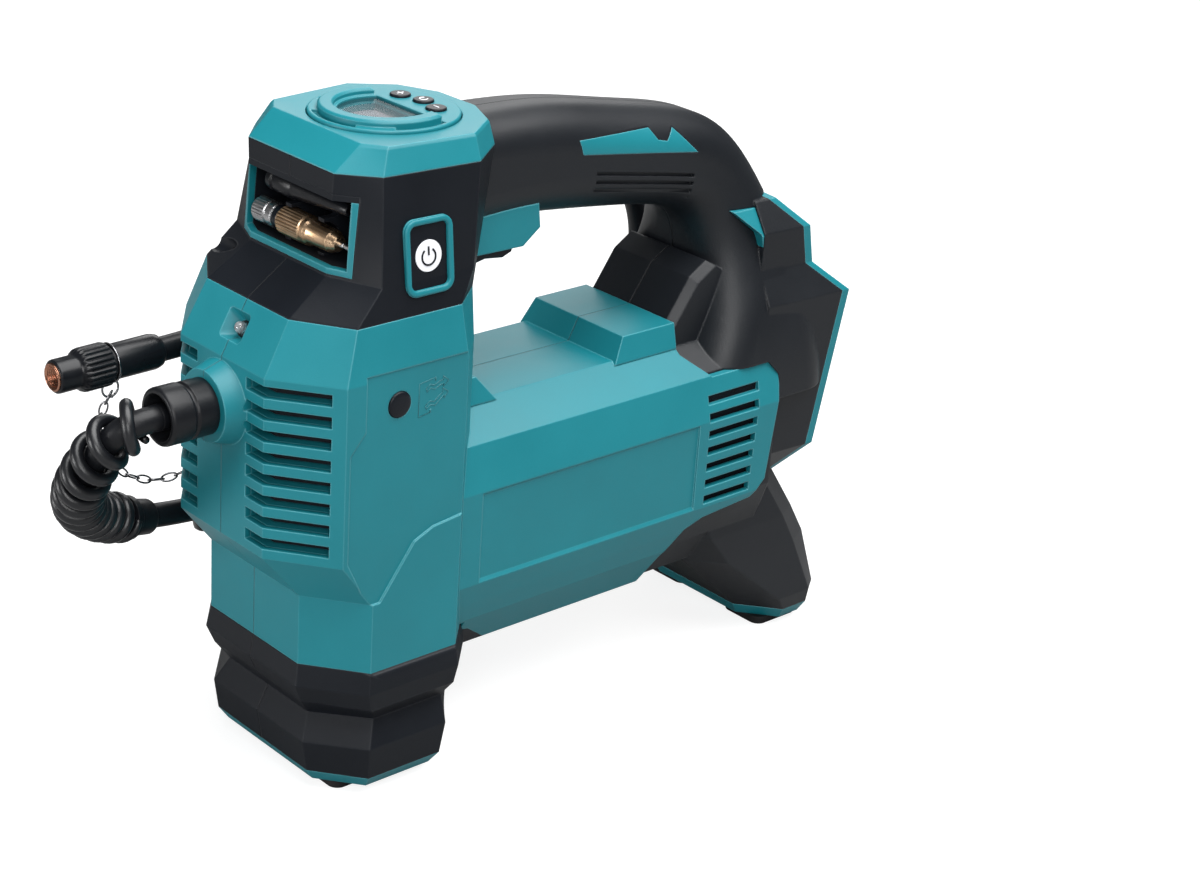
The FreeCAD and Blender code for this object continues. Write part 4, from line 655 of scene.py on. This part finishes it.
# Fitting at the hose's end: long sleeve, fluted nut and copper thread, along the hose's last run
fitting = {
    "sleeve": [(0.0, 4.4), (0.0, 5.2), (0.6, 5.7), (2.2, 6.2), (3.2, 6.35), (20.0, 6.3), (21.0, 6.1), (21.0, 0.0)],
    "nut": [(20.8, 5.2), (20.8, 6.9, 0.0), (21.6, 7.6, 0.35), (22.4, 7.75, 0.75), (30.6, 7.75, 0.75),
            (31.6, 7.6, 0.5), (32.4, 7.2, 0.2), (33.0, 6.6, 0.0), (33.6, 6.1), (34.2, 5.95), (40.6, 6.0), (41.4, 5.9),
            (41.9, 5.5), (41.9, 5.0), (30.0, 5.0), (30.0, 0.0)],
    "threadEnd": 42.6, "threadBase": 30.2, "threadRadius": (4.15, 3.75), "threadPitch": 0.8, "wall": 5.0,
    "chamfer": 0.3, "lip": 0.25, "floor": 0.4,
}
fittingStart = hoseRoute[-1]
fittingAxis = (hoseRoute[-1] - hoseRoute[-2]).normalized()


def buildThread(shape):
    wide, narrow = fitting["threadRadius"]
    base, end, pitch = fitting["threadBase"], fitting["threadEnd"], fitting["threadPitch"]
    wall, chamfer, floor = fitting["wall"], fitting["chamfer"], base + fitting["floor"]
    profile = [(base, 0.0), (base, wall), (end - chamfer, wall), (end, wall - chamfer), (end, wide + fitting["lip"])]
    for i in range(int((end - base - 1.0) / pitch)):
        profile += [(end - chamfer - pitch * i, wide), (end - chamfer - pitch * (i + 0.5), narrow)]
    profile += [(floor, narrow), (floor, 0.0)]
    turnForm(shape, fittingStart, fittingAxis, profile, 40)


endSleeve = turnedPiece("endSleeve", fittingStart, fittingAxis, fitting["sleeve"], sleevePlastic, "rubber")
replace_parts(endSleeve, "hose_end_sleeve")
flutedNut = turnedPiece("flutedNut", fittingStart, fittingAxis, fitting["nut"], sleevePlastic, "rubber", sides=144,
                        flutes=24)
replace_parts(flutedNut, "hose_nut")
threadInsert = bmeshPiece("threadInsert", buildThread, copperMetal, smooth=40)
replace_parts(threadInsert, "hose_thread")

# Wire loop round the fitting, with the split ring that hangs from it
wireLoop = {"along": 0.0196, "radius": 0.0067, "wire": 0.00045, "splitRadius": 0.0032, "splitWire": 0.00042,
            "barbRadius": 0.0009, "barbWire": 0.0003, "barbDrop": 0.97}
loopMiddle = fittingStart + fittingAxis * wireLoop["along"]
splitMiddle = loopMiddle - Vector((0, 0, wireLoop["radius"] + wireLoop["splitRadius"] - wireLoop["splitWire"]))


def buildWireLoop(shape):
    side, up, along = frameOf(fittingAxis, Vector((0, 1, 0)))
    sweepRound(shape, circlePoints(loopMiddle, side, up, wireLoop["radius"]), wireLoop["wire"], 8, closed=True)
    sweepRound(shape, circlePoints(splitMiddle, along, Vector((0, 0, 1)), wireLoop["splitRadius"], 40),
               wireLoop["splitWire"], 8, closed=True)
    barb = splitMiddle - Vector((0, 0, wireLoop["splitRadius"] * wireLoop["barbDrop"]))
    sweepRound(shape, circlePoints(barb, along, Vector((0, 1, 0)), wireLoop["barbRadius"], 16),
               wireLoop["barbWire"], 6, closed=True)


fittingLoop = bmeshPiece("fittingLoop", buildWireLoop, chainMetal, smooth=180)

# Chain from the split ring to the clamp chuck, in long links at a quarter turn to each other
chain = {"route": [(-11, 52, 127.6), (-14, 55.5, 118), (-10, 59.5, 105), (-1, 61, 93), (11, 60, 87), (22, 56.5, 88.5),
                   (29.9, 53, 94)],
         "sizes": {"Pitch": 0.0047, "Link Length": 0.0060, "Link Width": 0.0027, "Wire Radius": 0.00036},
         "linkSteps": 18, "wireSides": 8}


def buildChainTree():
    group, take, give = geometryGroup("chainLinks", chain["sizes"])
    spots = addNode(group, "GeometryNodeCurveToPoints", {"Curve": take["Geometry"], "Length": take["Pitch"]},
                    mode="LENGTH")
    parity = addMath(group, "MODULO", addNode(group, "GeometryNodeInputIndex")[0], 2.0)
    roll = addNode(group, "FunctionNodeAxisAngleToRotation", {
        "Axis": (0, 0, 1), "Angle": addMath(group, "MULTIPLY", parity, math.pi / 2)})
    turned = addNode(group, "FunctionNodeRotateRotation", {
        "Rotation": spots["Rotation"], "Rotate By": roll["Rotation"]}, rotation_space="LOCAL")
    circle = addNode(group, "GeometryNodeCurvePrimitiveCircle", {"Resolution": chain["linkSteps"], "Radius": 0.5},
                     mode="RADIUS")
    size = addNode(group, "ShaderNodeCombineXYZ", {"X": take["Link Width"], "Y": take["Link Length"], "Z": 1.0})
    oval = addNode(group, "GeometryNodeTransform", {
        "Geometry": circle["Curve"], "Scale": size["Vector"], "Rotation": (math.pi / 2, 0, 0)})
    wire = addNode(group, "GeometryNodeCurvePrimitiveCircle", {
        "Resolution": chain["wireSides"], "Radius": take["Wire Radius"]}, mode="RADIUS")
    link = addNode(group, "GeometryNodeCurveToMesh", {"Curve": oval["Geometry"], "Profile Curve": wire["Curve"]})
    smooth = addNode(group, "GeometryNodeSetShadeSmooth", {"Geometry": link["Mesh"]})
    placed = addNode(group, "GeometryNodeInstanceOnPoints", {
        "Points": spots["Points"], "Instance": smooth["Geometry"], "Rotation": turned["Rotation"]})
    return finishTree(group, take, give, placed["Instances"])


chainRoute = [fromCad(*point) for point in chain["route"]]
chainLine = centreLine(chainRoute)
chuckChain = applyTree(splineCurve("chainCarrier", chainRoute), buildChainTree(), chain["sizes"], "chuckChain",
                       chainMetal)
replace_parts(chuckChain, "chuck_chain")
print("chain line", round(lineLength(chainLine), 4), "m")

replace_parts(airHose, "hose")
print("hose, guard and chain made")

# Clamp chuck's lever, a bottle-shaped grip: height, depth place, width, thickness in the part's millimetres
lever = {"x": 40.0, "sections": [(108.3, 60.9, 6.0, 3.6), (107.6, 60.9, 8.0, 5.2), (104.0, 61.0, 8.2, 5.9),
                                 (100.0, 61.1, 8.4, 6.4), (95.0, 62.2, 9.6, 7.2), (92.0, 62.9, 11.6, 7.9),
                                 (88.0, 63.5, 15.0, 8.6), (82.0, 63.8, 17.0, 9.3), (76.0, 63.9, 17.4, 9.5),
                                 (68.0, 63.8, 16.6, 9.2), (62.2, 63.7, 15.2, 8.5), (60.7, 63.7, 14.4, 7.9),
                                 (60.05, 63.7, 12.6, 6.4)],
         "sides": 40, "squareness": 2.6}


def buildLever(shape):
    rings = []
    power = 2 / lever["squareness"]
    for z, y, width, depth in lever["sections"]:
        ring = []
        for i in range(lever["sides"]):
            angle = 2 * math.pi * i / lever["sides"]
            across, out = math.cos(angle), math.sin(angle)
            ring.append(shape.verts.new(fromCad(
                lever["x"] + math.copysign(abs(across) ** power, across) * width / 2,
                y + math.copysign(abs(out) ** power, out) * depth / 2, z)))
        rings.append(ring)
    skinRings(shape, rings, capped=True)


clampLever = bmeshPiece("clampLever", buildLever, glossBlack, "chuck_clamp", smooth=35)
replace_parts(clampLever, "chuck_lever")

# Adapters in the bay, turned along the bay's width
bayParts = {
    "adapterPlace": (33.0, 196.0), "nozzlePlace": (36.0, 207.0),
    "brass": [(-19.0, 0.0), (-19.0, 2.3), (-18.3, 2.9), (-16.4, 3.4), (-15.8, 3.9), (-6.0, 4.1), (-5.4, 4.4),
              (-4.6, 4.9), (-3.2, 4.95), (-2.6, 4.6), (-2.2, 4.6, 0.0), (-1.8, 5.0, 0.0), (-1.2, 5.0, 0.34),
              (9.4, 5.0, 0.34), (10.2, 4.9, 0.1), (11.0, 4.4), (11.0, 0.0)],
    "needleBase": [(14.0, 0.0), (14.0, 4.1), (14.5, 4.4), (17.0, 4.4), (17.3, 4.0), (17.9, 4.0), (18.2, 4.45, 0.0),
                   (18.6, 4.5, 0.22), (24.0, 4.5, 0.22), (24.6, 4.3, 0.0), (25.0, 3.8), (25.0, 0.0)],
    "needle": [(-25.0, 0.0), (-25.0, 0.6), (-24.7, 0.95), (-22.6, 1.0), (-22.3, 0.75), (-21.5, 0.75), (-21.2, 1.0),
               (-18.0, 1.0), (-18.0, 0.0)],
    "washer": [(10.9, 0.0), (10.9, 3.9), (11.4, 4.2), (13.5, 4.2), (14.1, 3.9), (14.1, 0.0)],
    "nozzle": [(22.0, 0.0), (22.0, 3.4), (21.4, 4.1), (19.0, 4.2), (18.6, 3.7), (17.6, 3.7), (17.2, 4.2),
               (9.0, 4.2), (8.4, 3.9), (7.6, 3.8), (-16.0, 2.25), (-19.4, 2.0), (-20.0, 1.7), (-20.0, 1.1),
               (-17.0, 1.0), (-17.0, 0.0)],
}


def bayPiece(name, place, profile, material, slotName, body, sides=48, flutes=0):
    x, z = bayParts[place]
    return turnedPiece(name, fromCad(x, 0, z), Vector((0, 1, 0)), bayParts[profile], material, slotName, body,
                       smooth=28, sides=sides, flutes=flutes)


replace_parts(bayPiece("brassAdapter", "adapterPlace", "brass", brassMetal, "brass", "valve_adapter", 156, 26),
            "valve_adapter")
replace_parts(bayPiece("needleBase", "adapterPlace", "needleBase", steelMetal, "steel", "valve_adapter", 144, 24),
            "ball_needle")
bayPiece("needleTip", "adapterPlace", "needle", steelMetal, "steel", "valve_adapter", 20)
bayPiece("needleWasher", "adapterPlace", "washer", buttonPlastic, "black_plastic", "valve_adapter")
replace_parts(bayPiece("taperNozzle", "nozzlePlace", "nozzle", sleevePlastic, "black_plastic", "nozzle"),
            "plastic_nozzle")

# Air release button with a softened rim, by height over the shell's face
releaseButton = {"centre": (39.0, -45.2, 147.5), "profile": [
    (-7.0, 0.0), (-7.0, 4.65), (-0.3, 4.65), (0.25, 4.5), (0.6, 4.1), (0.75, 3.4), (0.85, 1.8), (0.88, 0.0)]}
releaseCap = turnedPiece("releaseCap", fromCad(*releaseButton["centre"]), Vector((0, -1, 0)),
                         releaseButton["profile"], buttonPlastic, "black_plastic", "air_release", smooth=60, sides=64)
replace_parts(releaseCap, "release_button")

# Dark ring at the lamp's foot
lampRing = {"floor": (9.276, 0.0, 165.431), "out": (-0.8742, 0.0, 0.4856),
            "profile": [(-0.2, 2.02), (-0.2, 2.9), (0.7, 2.9), (1.0, 2.6), (1.0, 2.25), (0.8, 2.02)]}
turnedPiece("lampRing", fromCad(*lampRing["floor"]), Vector(lampRing["out"]), lampRing["profile"], glossBlack,
            "black_plastic", smooth=40, sides=40, loop=True)
print("chuck, adapters and button made")

# Deep ribs behind the chest's vents, and black dust screens there and behind the rear vents
ventRibs = {
    "sizes": {"Count": 9, "Pitch": 0.0077, "Start": 0.09565},
    "rib": [([(2.45, 13), (6.5, 13), (6.5, 21.8), (19.8, 39.0), (16.5, 41.4), (2.45, 23.1)], -1.75, 1.75)],
    "walls": [([(15.9, 40.3), (19.0, 37.9), (19.8, 39.0), (16.6, 41.4)], 93.9, 159.0),
              ([(2.45, 12.2), (6.5, 12.2), (6.5, 13.9), (2.45, 13.9)], 93.9, 159.0)],
    "screens": [([(6.6, 12), (7.2, 12), (7.2, 21.5), (20.7, 39.0), (20.2, 39.5), (6.6, 21.8)], 93.9, 159.0),
                ([(186, 38), (217, 38), (217, 38.6), (186, 38.6)], 69.0, 114.0)],
}


# Upright forms on both sides, each by its outline from above and its two heights
def buildVents(part):
    def build(shape):
        for outline, *heights in ventRibs[part]:
            for side in (-1, 1):
                skinRings(shape, [[shape.verts.new(fromCad(x, side * y, z)) for x, y in outline] for z in heights],
                          capped=True)
    return build


def buildRibTree():
    group, take, give = geometryGroup("ventRibs", ventRibs["sizes"])
    rise, start = [addNode(group, "ShaderNodeCombineXYZ", {"Z": take[label]}) for label in ("Pitch", "Start")]
    rows = addNode(group, "GeometryNodeMeshLine", {
        "Count": take["Count"], "Start Location": start["Vector"], "Offset": rise["Vector"]}, mode="OFFSET")
    placed = addNode(group, "GeometryNodeInstanceOnPoints", {"Points": rows["Mesh"], "Instance": take["Geometry"]})
    return finishTree(group, take, give, placed["Instances"])


applyTree(sceneObject("ribCarrier", buildMesh("ribCarrier", buildVents("rib"))), buildRibTree(),
          ventRibs["sizes"], "chestRibs", tealTrim)
bmeshPiece("ventWalls", buildVents("walls"), tealTrim)
bmeshPiece("dustScreens", buildVents("screens"), innerPlastic)
print("vent ribs made")


# Signs: points across and up on a face, in millimetres
def onFace(face, across, up, lift):
    place, normal = face
    side, high, out = frameOf(normal)
    return place + (side * across + high * up + out * lift) / 1000


# Rounded rings on a face, each by its inset and its lift
def insetRings(shape, face, size, steps):
    width, height, radius = size
    return [[shape.verts.new(onFace(face, across, up, lift))
             for across, up in roundedLoop(width - 2 * inset, height - 2 * inset, radius - inset)]
            for inset, lift in steps]


# Power key: raised border, white disc with a bar and an open ring
powerSign = {"look": (53, -80, 194.5), "ring": 2.75, "ringDrop": 0.3, "stroke": 0.00036, "rise": 0.25,
             "gap": (34, 327), "bar": (0.3, 1.7, 3.1),
             "disc": [(-0.3, 0.0), (-0.3, 5.3), (0.17, 5.3), (0.25, 5.2), (0.25, 0.0)],
             "size": (19.4, 25.4, 4.2),
             "border": [(0.0, -0.6), (0.0, 0.85), (0.1, 1.05), (0.3, 1.2), (0.6, 1.28), (1.5, 1.25), (1.8, 1.1),
                        (2.05, 0.8), (2.2, -0.6)]}
keyFace = faceOn("power_key", powerSign["look"], 1)


def buildKeyBorder(shape):
    skinRings(shape, insetRings(shape, keyFace, powerSign["size"], powerSign["border"]), loop=True)


def buildPowerMark(shape):
    reach, rise = powerSign["ring"], powerSign["rise"]
    angles = [math.radians(a) for a in range(*powerSign["gap"], 8)]
    arc = [onFace(keyFace, reach * math.sin(a), reach * math.cos(a) - powerSign["ringDrop"], rise) for a in angles]
    bar = [onFace(keyFace, 0, up, rise) for up in powerSign["bar"]]
    sweepRound(shape, arc, powerSign["stroke"], 8)
    sweepRound(shape, bar, powerSign["stroke"], 8)


bmeshPiece("keyBorder", buildKeyBorder, tealTrim, smooth=50)
turnedPiece("powerDisc", *keyFace, powerSign["disc"], printInk, "teal_plastic", "power_key", smooth=0, sides=64)
bmeshPiece("powerMark", buildPowerMark, buttonPlastic, "power_key", smooth=180)

# Outline beside the air release: an open box that air leaves by two waved arrows
releaseSign = {"look": (53.2, -80, 147.5), "stroke": 0.0002, "lines": [
    [(0.6, 6.4), (-6.2, 5.4), (-6.2, -6.4), (-1.2, -5.6)], [(0.6, 6.4), (0.6, 5.2)], [(-1.2, -5.6), (-1.2, -4.4)],
    [(-3.2, 3.2), (-1.6, 4.4), (0.2, 3.6), (2.0, 4.6), (3.9, 4.9), (3.7, 6.2), (6.2, 4.2), (3.9, 2.4), (4.0, 3.5),
     (2.4, 3.2), (0.4, 2.2), (-1.4, 3.0), (-3.0, 1.9), (-3.2, 3.2)],
    [(-3.4, -2.9), (-1.6, -1.6), (0.4, -2.2), (2.2, -0.6), (4.0, 0.6), (3.7, 1.9), (6.2, 0.2), (4.4, -1.9),
     (4.3, -0.7), (2.8, -1.9), (0.8, -3.6), (-1.2, -3.0), (-3.0, -4.2), (-3.4, -2.9)]]}
releaseFace = faceOn("left_shell", releaseSign["look"], 1)


def buildReleaseSign(shape):
    for line in releaseSign["lines"]:
        sweepRound(shape, [onFace(releaseFace, a, b, 0.0) for a, b in line], releaseSign["stroke"], 6)


bmeshPiece("releaseSign", buildReleaseSign, shadedSignTeal, smooth=180)

# Bare label plate on the barrel's right side
labelPlate = {"look": (122.5, 80, 87.0), "size": (81.0, 14.0, 1.2), "steps": [(0.0, -0.4), (0.0, 0.4), (0.15, 0.55)]}
labelFace = faceOn("right_shell", labelPlate["look"], -1)


def buildLabel(shape):
    skinRings(shape, insetRings(shape, labelFace, labelPlate["size"], labelPlate["steps"]), capped=True)


bmeshPiece("labelPlate", buildLabel, glossBlack)

# Signs on the display's keys: strokes across and along each key, in millimetres
keySigns = {"stroke": 0.0002, "half": 1.4, "hook": (40, 330)}
half = keySigns["half"]
hook = [(half * math.cos(math.radians(a)), half * math.sin(math.radians(a))) for a in range(*keySigns["hook"], 15)]
upright = [(0, -half), (0, 0), (0, half)]
across = [(-half, 0), (0, 0), (half, 0)]
for key, strokes in {"plus": [upright, across], "mode": [hook], "minus": [upright]}.items():
    low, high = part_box(key + "_button")
    middle = (low + high) / 2

    def buildKeySign(shape, strokes=strokes, middle=middle, top=high.z):
        for stroke in strokes:
            sweepRound(shape, [Vector((middle.x + a / 1000, middle.y + b / 1000, top)) for a, b in stroke],
                       keySigns["stroke"], 6)

    bmeshPiece("sign" + key.capitalize(), buildKeySign, printInk, key + "_key", smooth=180)
print("signs and plate made")

# Screw heads with a six-sided recess, deep in their wells: x, z and the seat's y in the part's millimetres
screws = {"places": [(130, 206, 7), (179, 187, 7), (201, 133, 14), (105, 42.3, 9), (242, 17, 20), (69, 169, 16),
                     (25, 181, 14)],
          "sizes": {"Radius": 0.0029, "Rise": 0.0009}, "seatGap": 2.2, "topShare": 0.72, "recessShare": 0.42,
          "recessDepth": 0.003, "recessUp": 0.0018}


def buildScrewTree():
    group, take, give = geometryGroup("screwHeads", screws["sizes"])
    dome = addNode(group, "GeometryNodeMeshCone", {
        "Vertices": 24, "Radius Bottom": take["Radius"],
        "Radius Top": addMath(group, "MULTIPLY", take["Radius"], screws["topShare"]), "Depth": take["Rise"]})
    lobe = addNode(group, "GeometryNodeMeshCylinder", {
        "Vertices": 6, "Radius": addMath(group, "MULTIPLY", take["Radius"], screws["recessShare"]),
        "Depth": screws["recessDepth"]})
    raised = addNode(group, "GeometryNodeTransform", {"Geometry": lobe["Mesh"],
                                                      "Translation": (0, 0, screws["recessUp"])})
    cut = addNode(group, "GeometryNodeMeshBoolean", {0: dome["Mesh"], 1: raised["Geometry"]}, operation="DIFFERENCE")
    placed = addNode(group, "GeometryNodeInstanceOnPoints", {
        "Points": take["Geometry"], "Instance": cut["Mesh"], "Rotation": (-math.pi / 2, 0, 0)})
    return finishTree(group, take, give, placed["Instances"])


spots = bpy.data.meshes.new("screwSpots")
spots.from_pydata([fromCad(x, seat + screws["seatGap"], z) for x, z, seat in screws["places"]], [], [])
applyTree(sceneObject("screwSpots", spots), buildScrewTree(), screws["sizes"], "screwHeads", screwSteel)
print("screws made")

# Floor, lamps, world and camera; the floor and the sky are brighter to the camera than to the object
studio = {"floorHalf": 6, "floorGlow": 0.82, "skyLight": 0.12, "skyGlossy": 0.12, "aim": (-0.02, 0.0, 0.12)}


def buildFloorMaterial():
    made, tree, shader, place = newMaterial("paleFloor")
    cloud = addNoise(tree, place, 3.0)
    seenDirectly = addNode(tree, "ShaderNodeLightPath")["Is Camera Ray"]
    setInputs(tree, shader, {"Base Color": blendColour(tree, cloud, (0.29, 0.29, 0.29), (0.31, 0.31, 0.31)),
                             "Roughness": 0.9, "Specular IOR Level": 0.1, "Emission Color": (1, 1, 1, 1),
                             "Emission Strength": addMath(tree, "MULTIPLY", seenDirectly, studio["floorGlow"])})
    return made


half = studio["floorHalf"]
floorMesh = bpy.data.meshes.new("floor")
floorMesh.from_pydata([(-half, -half, 0), (half, -half, 0), (half, half, 0), (-half, half, 0)], [], [(0, 1, 2, 3)])
floor = sceneObject("floor", floorMesh)
floor.data.materials.append(buildFloorMaterial())
floor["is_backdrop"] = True

world = bpy.data.worlds.new("studio")
bpy.context.scene.world = world
world.use_nodes = True
sky = world.node_tree
rays = addNode(sky, "ShaderNodeLightPath")
seen = addMath(sky, "MAXIMUM", rays["Is Camera Ray"], rays["Is Transmission Ray"])
glossy = addMath(sky, "MULTIPLY", rays["Is Glossy Ray"], studio["skyGlossy"])
strength = addMath(sky, "MAXIMUM", addMath(sky, "MAXIMUM", seen, glossy), studio["skyLight"])
setInputs(sky, sky.nodes["Background"], {"Color": (1, 1, 1, 1), "Strength": strength})

lamps = {
    "keyLamp": {"place": (-0.95, -1.25, 0.85), "size": 0.8, "power": 14.5},
    "chestLamp": {"place": (-1.6, 0.4, 0.3), "size": 0.6, "power": 13.0},
    "topLamp": {"place": (0.25, -0.4, 1.7), "size": 1.8, "power": 68.0},
    "backLamp": {"place": (1.1, 1.3, 0.9), "size": 0.9, "power": 6.0},
}
for name, lamp in lamps.items():
    light = bpy.data.lights.new(name, "AREA")
    light.shape = "SQUARE"
    light.size = lamp["size"]
    light.energy = lamp["power"]
    lightObject = sceneObject(name, light)
    lightObject.location = lamp["place"]
    toAim = Vector(studio["aim"]) - Vector(lamp["place"])
    lightObject.rotation_euler = toAim.to_track_quat("-Z", "Y").to_euler()

camera = {"place": (-0.55975, -0.63681, 0.464), "turn": (66.184, -2.296, -39.091), "lens": 74.91,
          "shift": (0.1308, -0.0017)}
cameraData = bpy.data.cameras.new("camera")
cameraData.sensor_width = 36.0
cameraData.sensor_fit = "HORIZONTAL"
cameraData.lens = camera["lens"]
cameraData.shift_x, cameraData.shift_y = camera["shift"]
cameraData.clip_start = 0.01
cameraObject = sceneObject("camera", cameraData)
cameraObject.location = camera["place"]
cameraObject.rotation_euler = [math.radians(a) for a in camera["turn"]]
bpy.context.scene.camera = cameraObject
bpy.context.scene.view_settings.view_transform = "Standard"
print("camera and lamps set")

low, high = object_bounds()
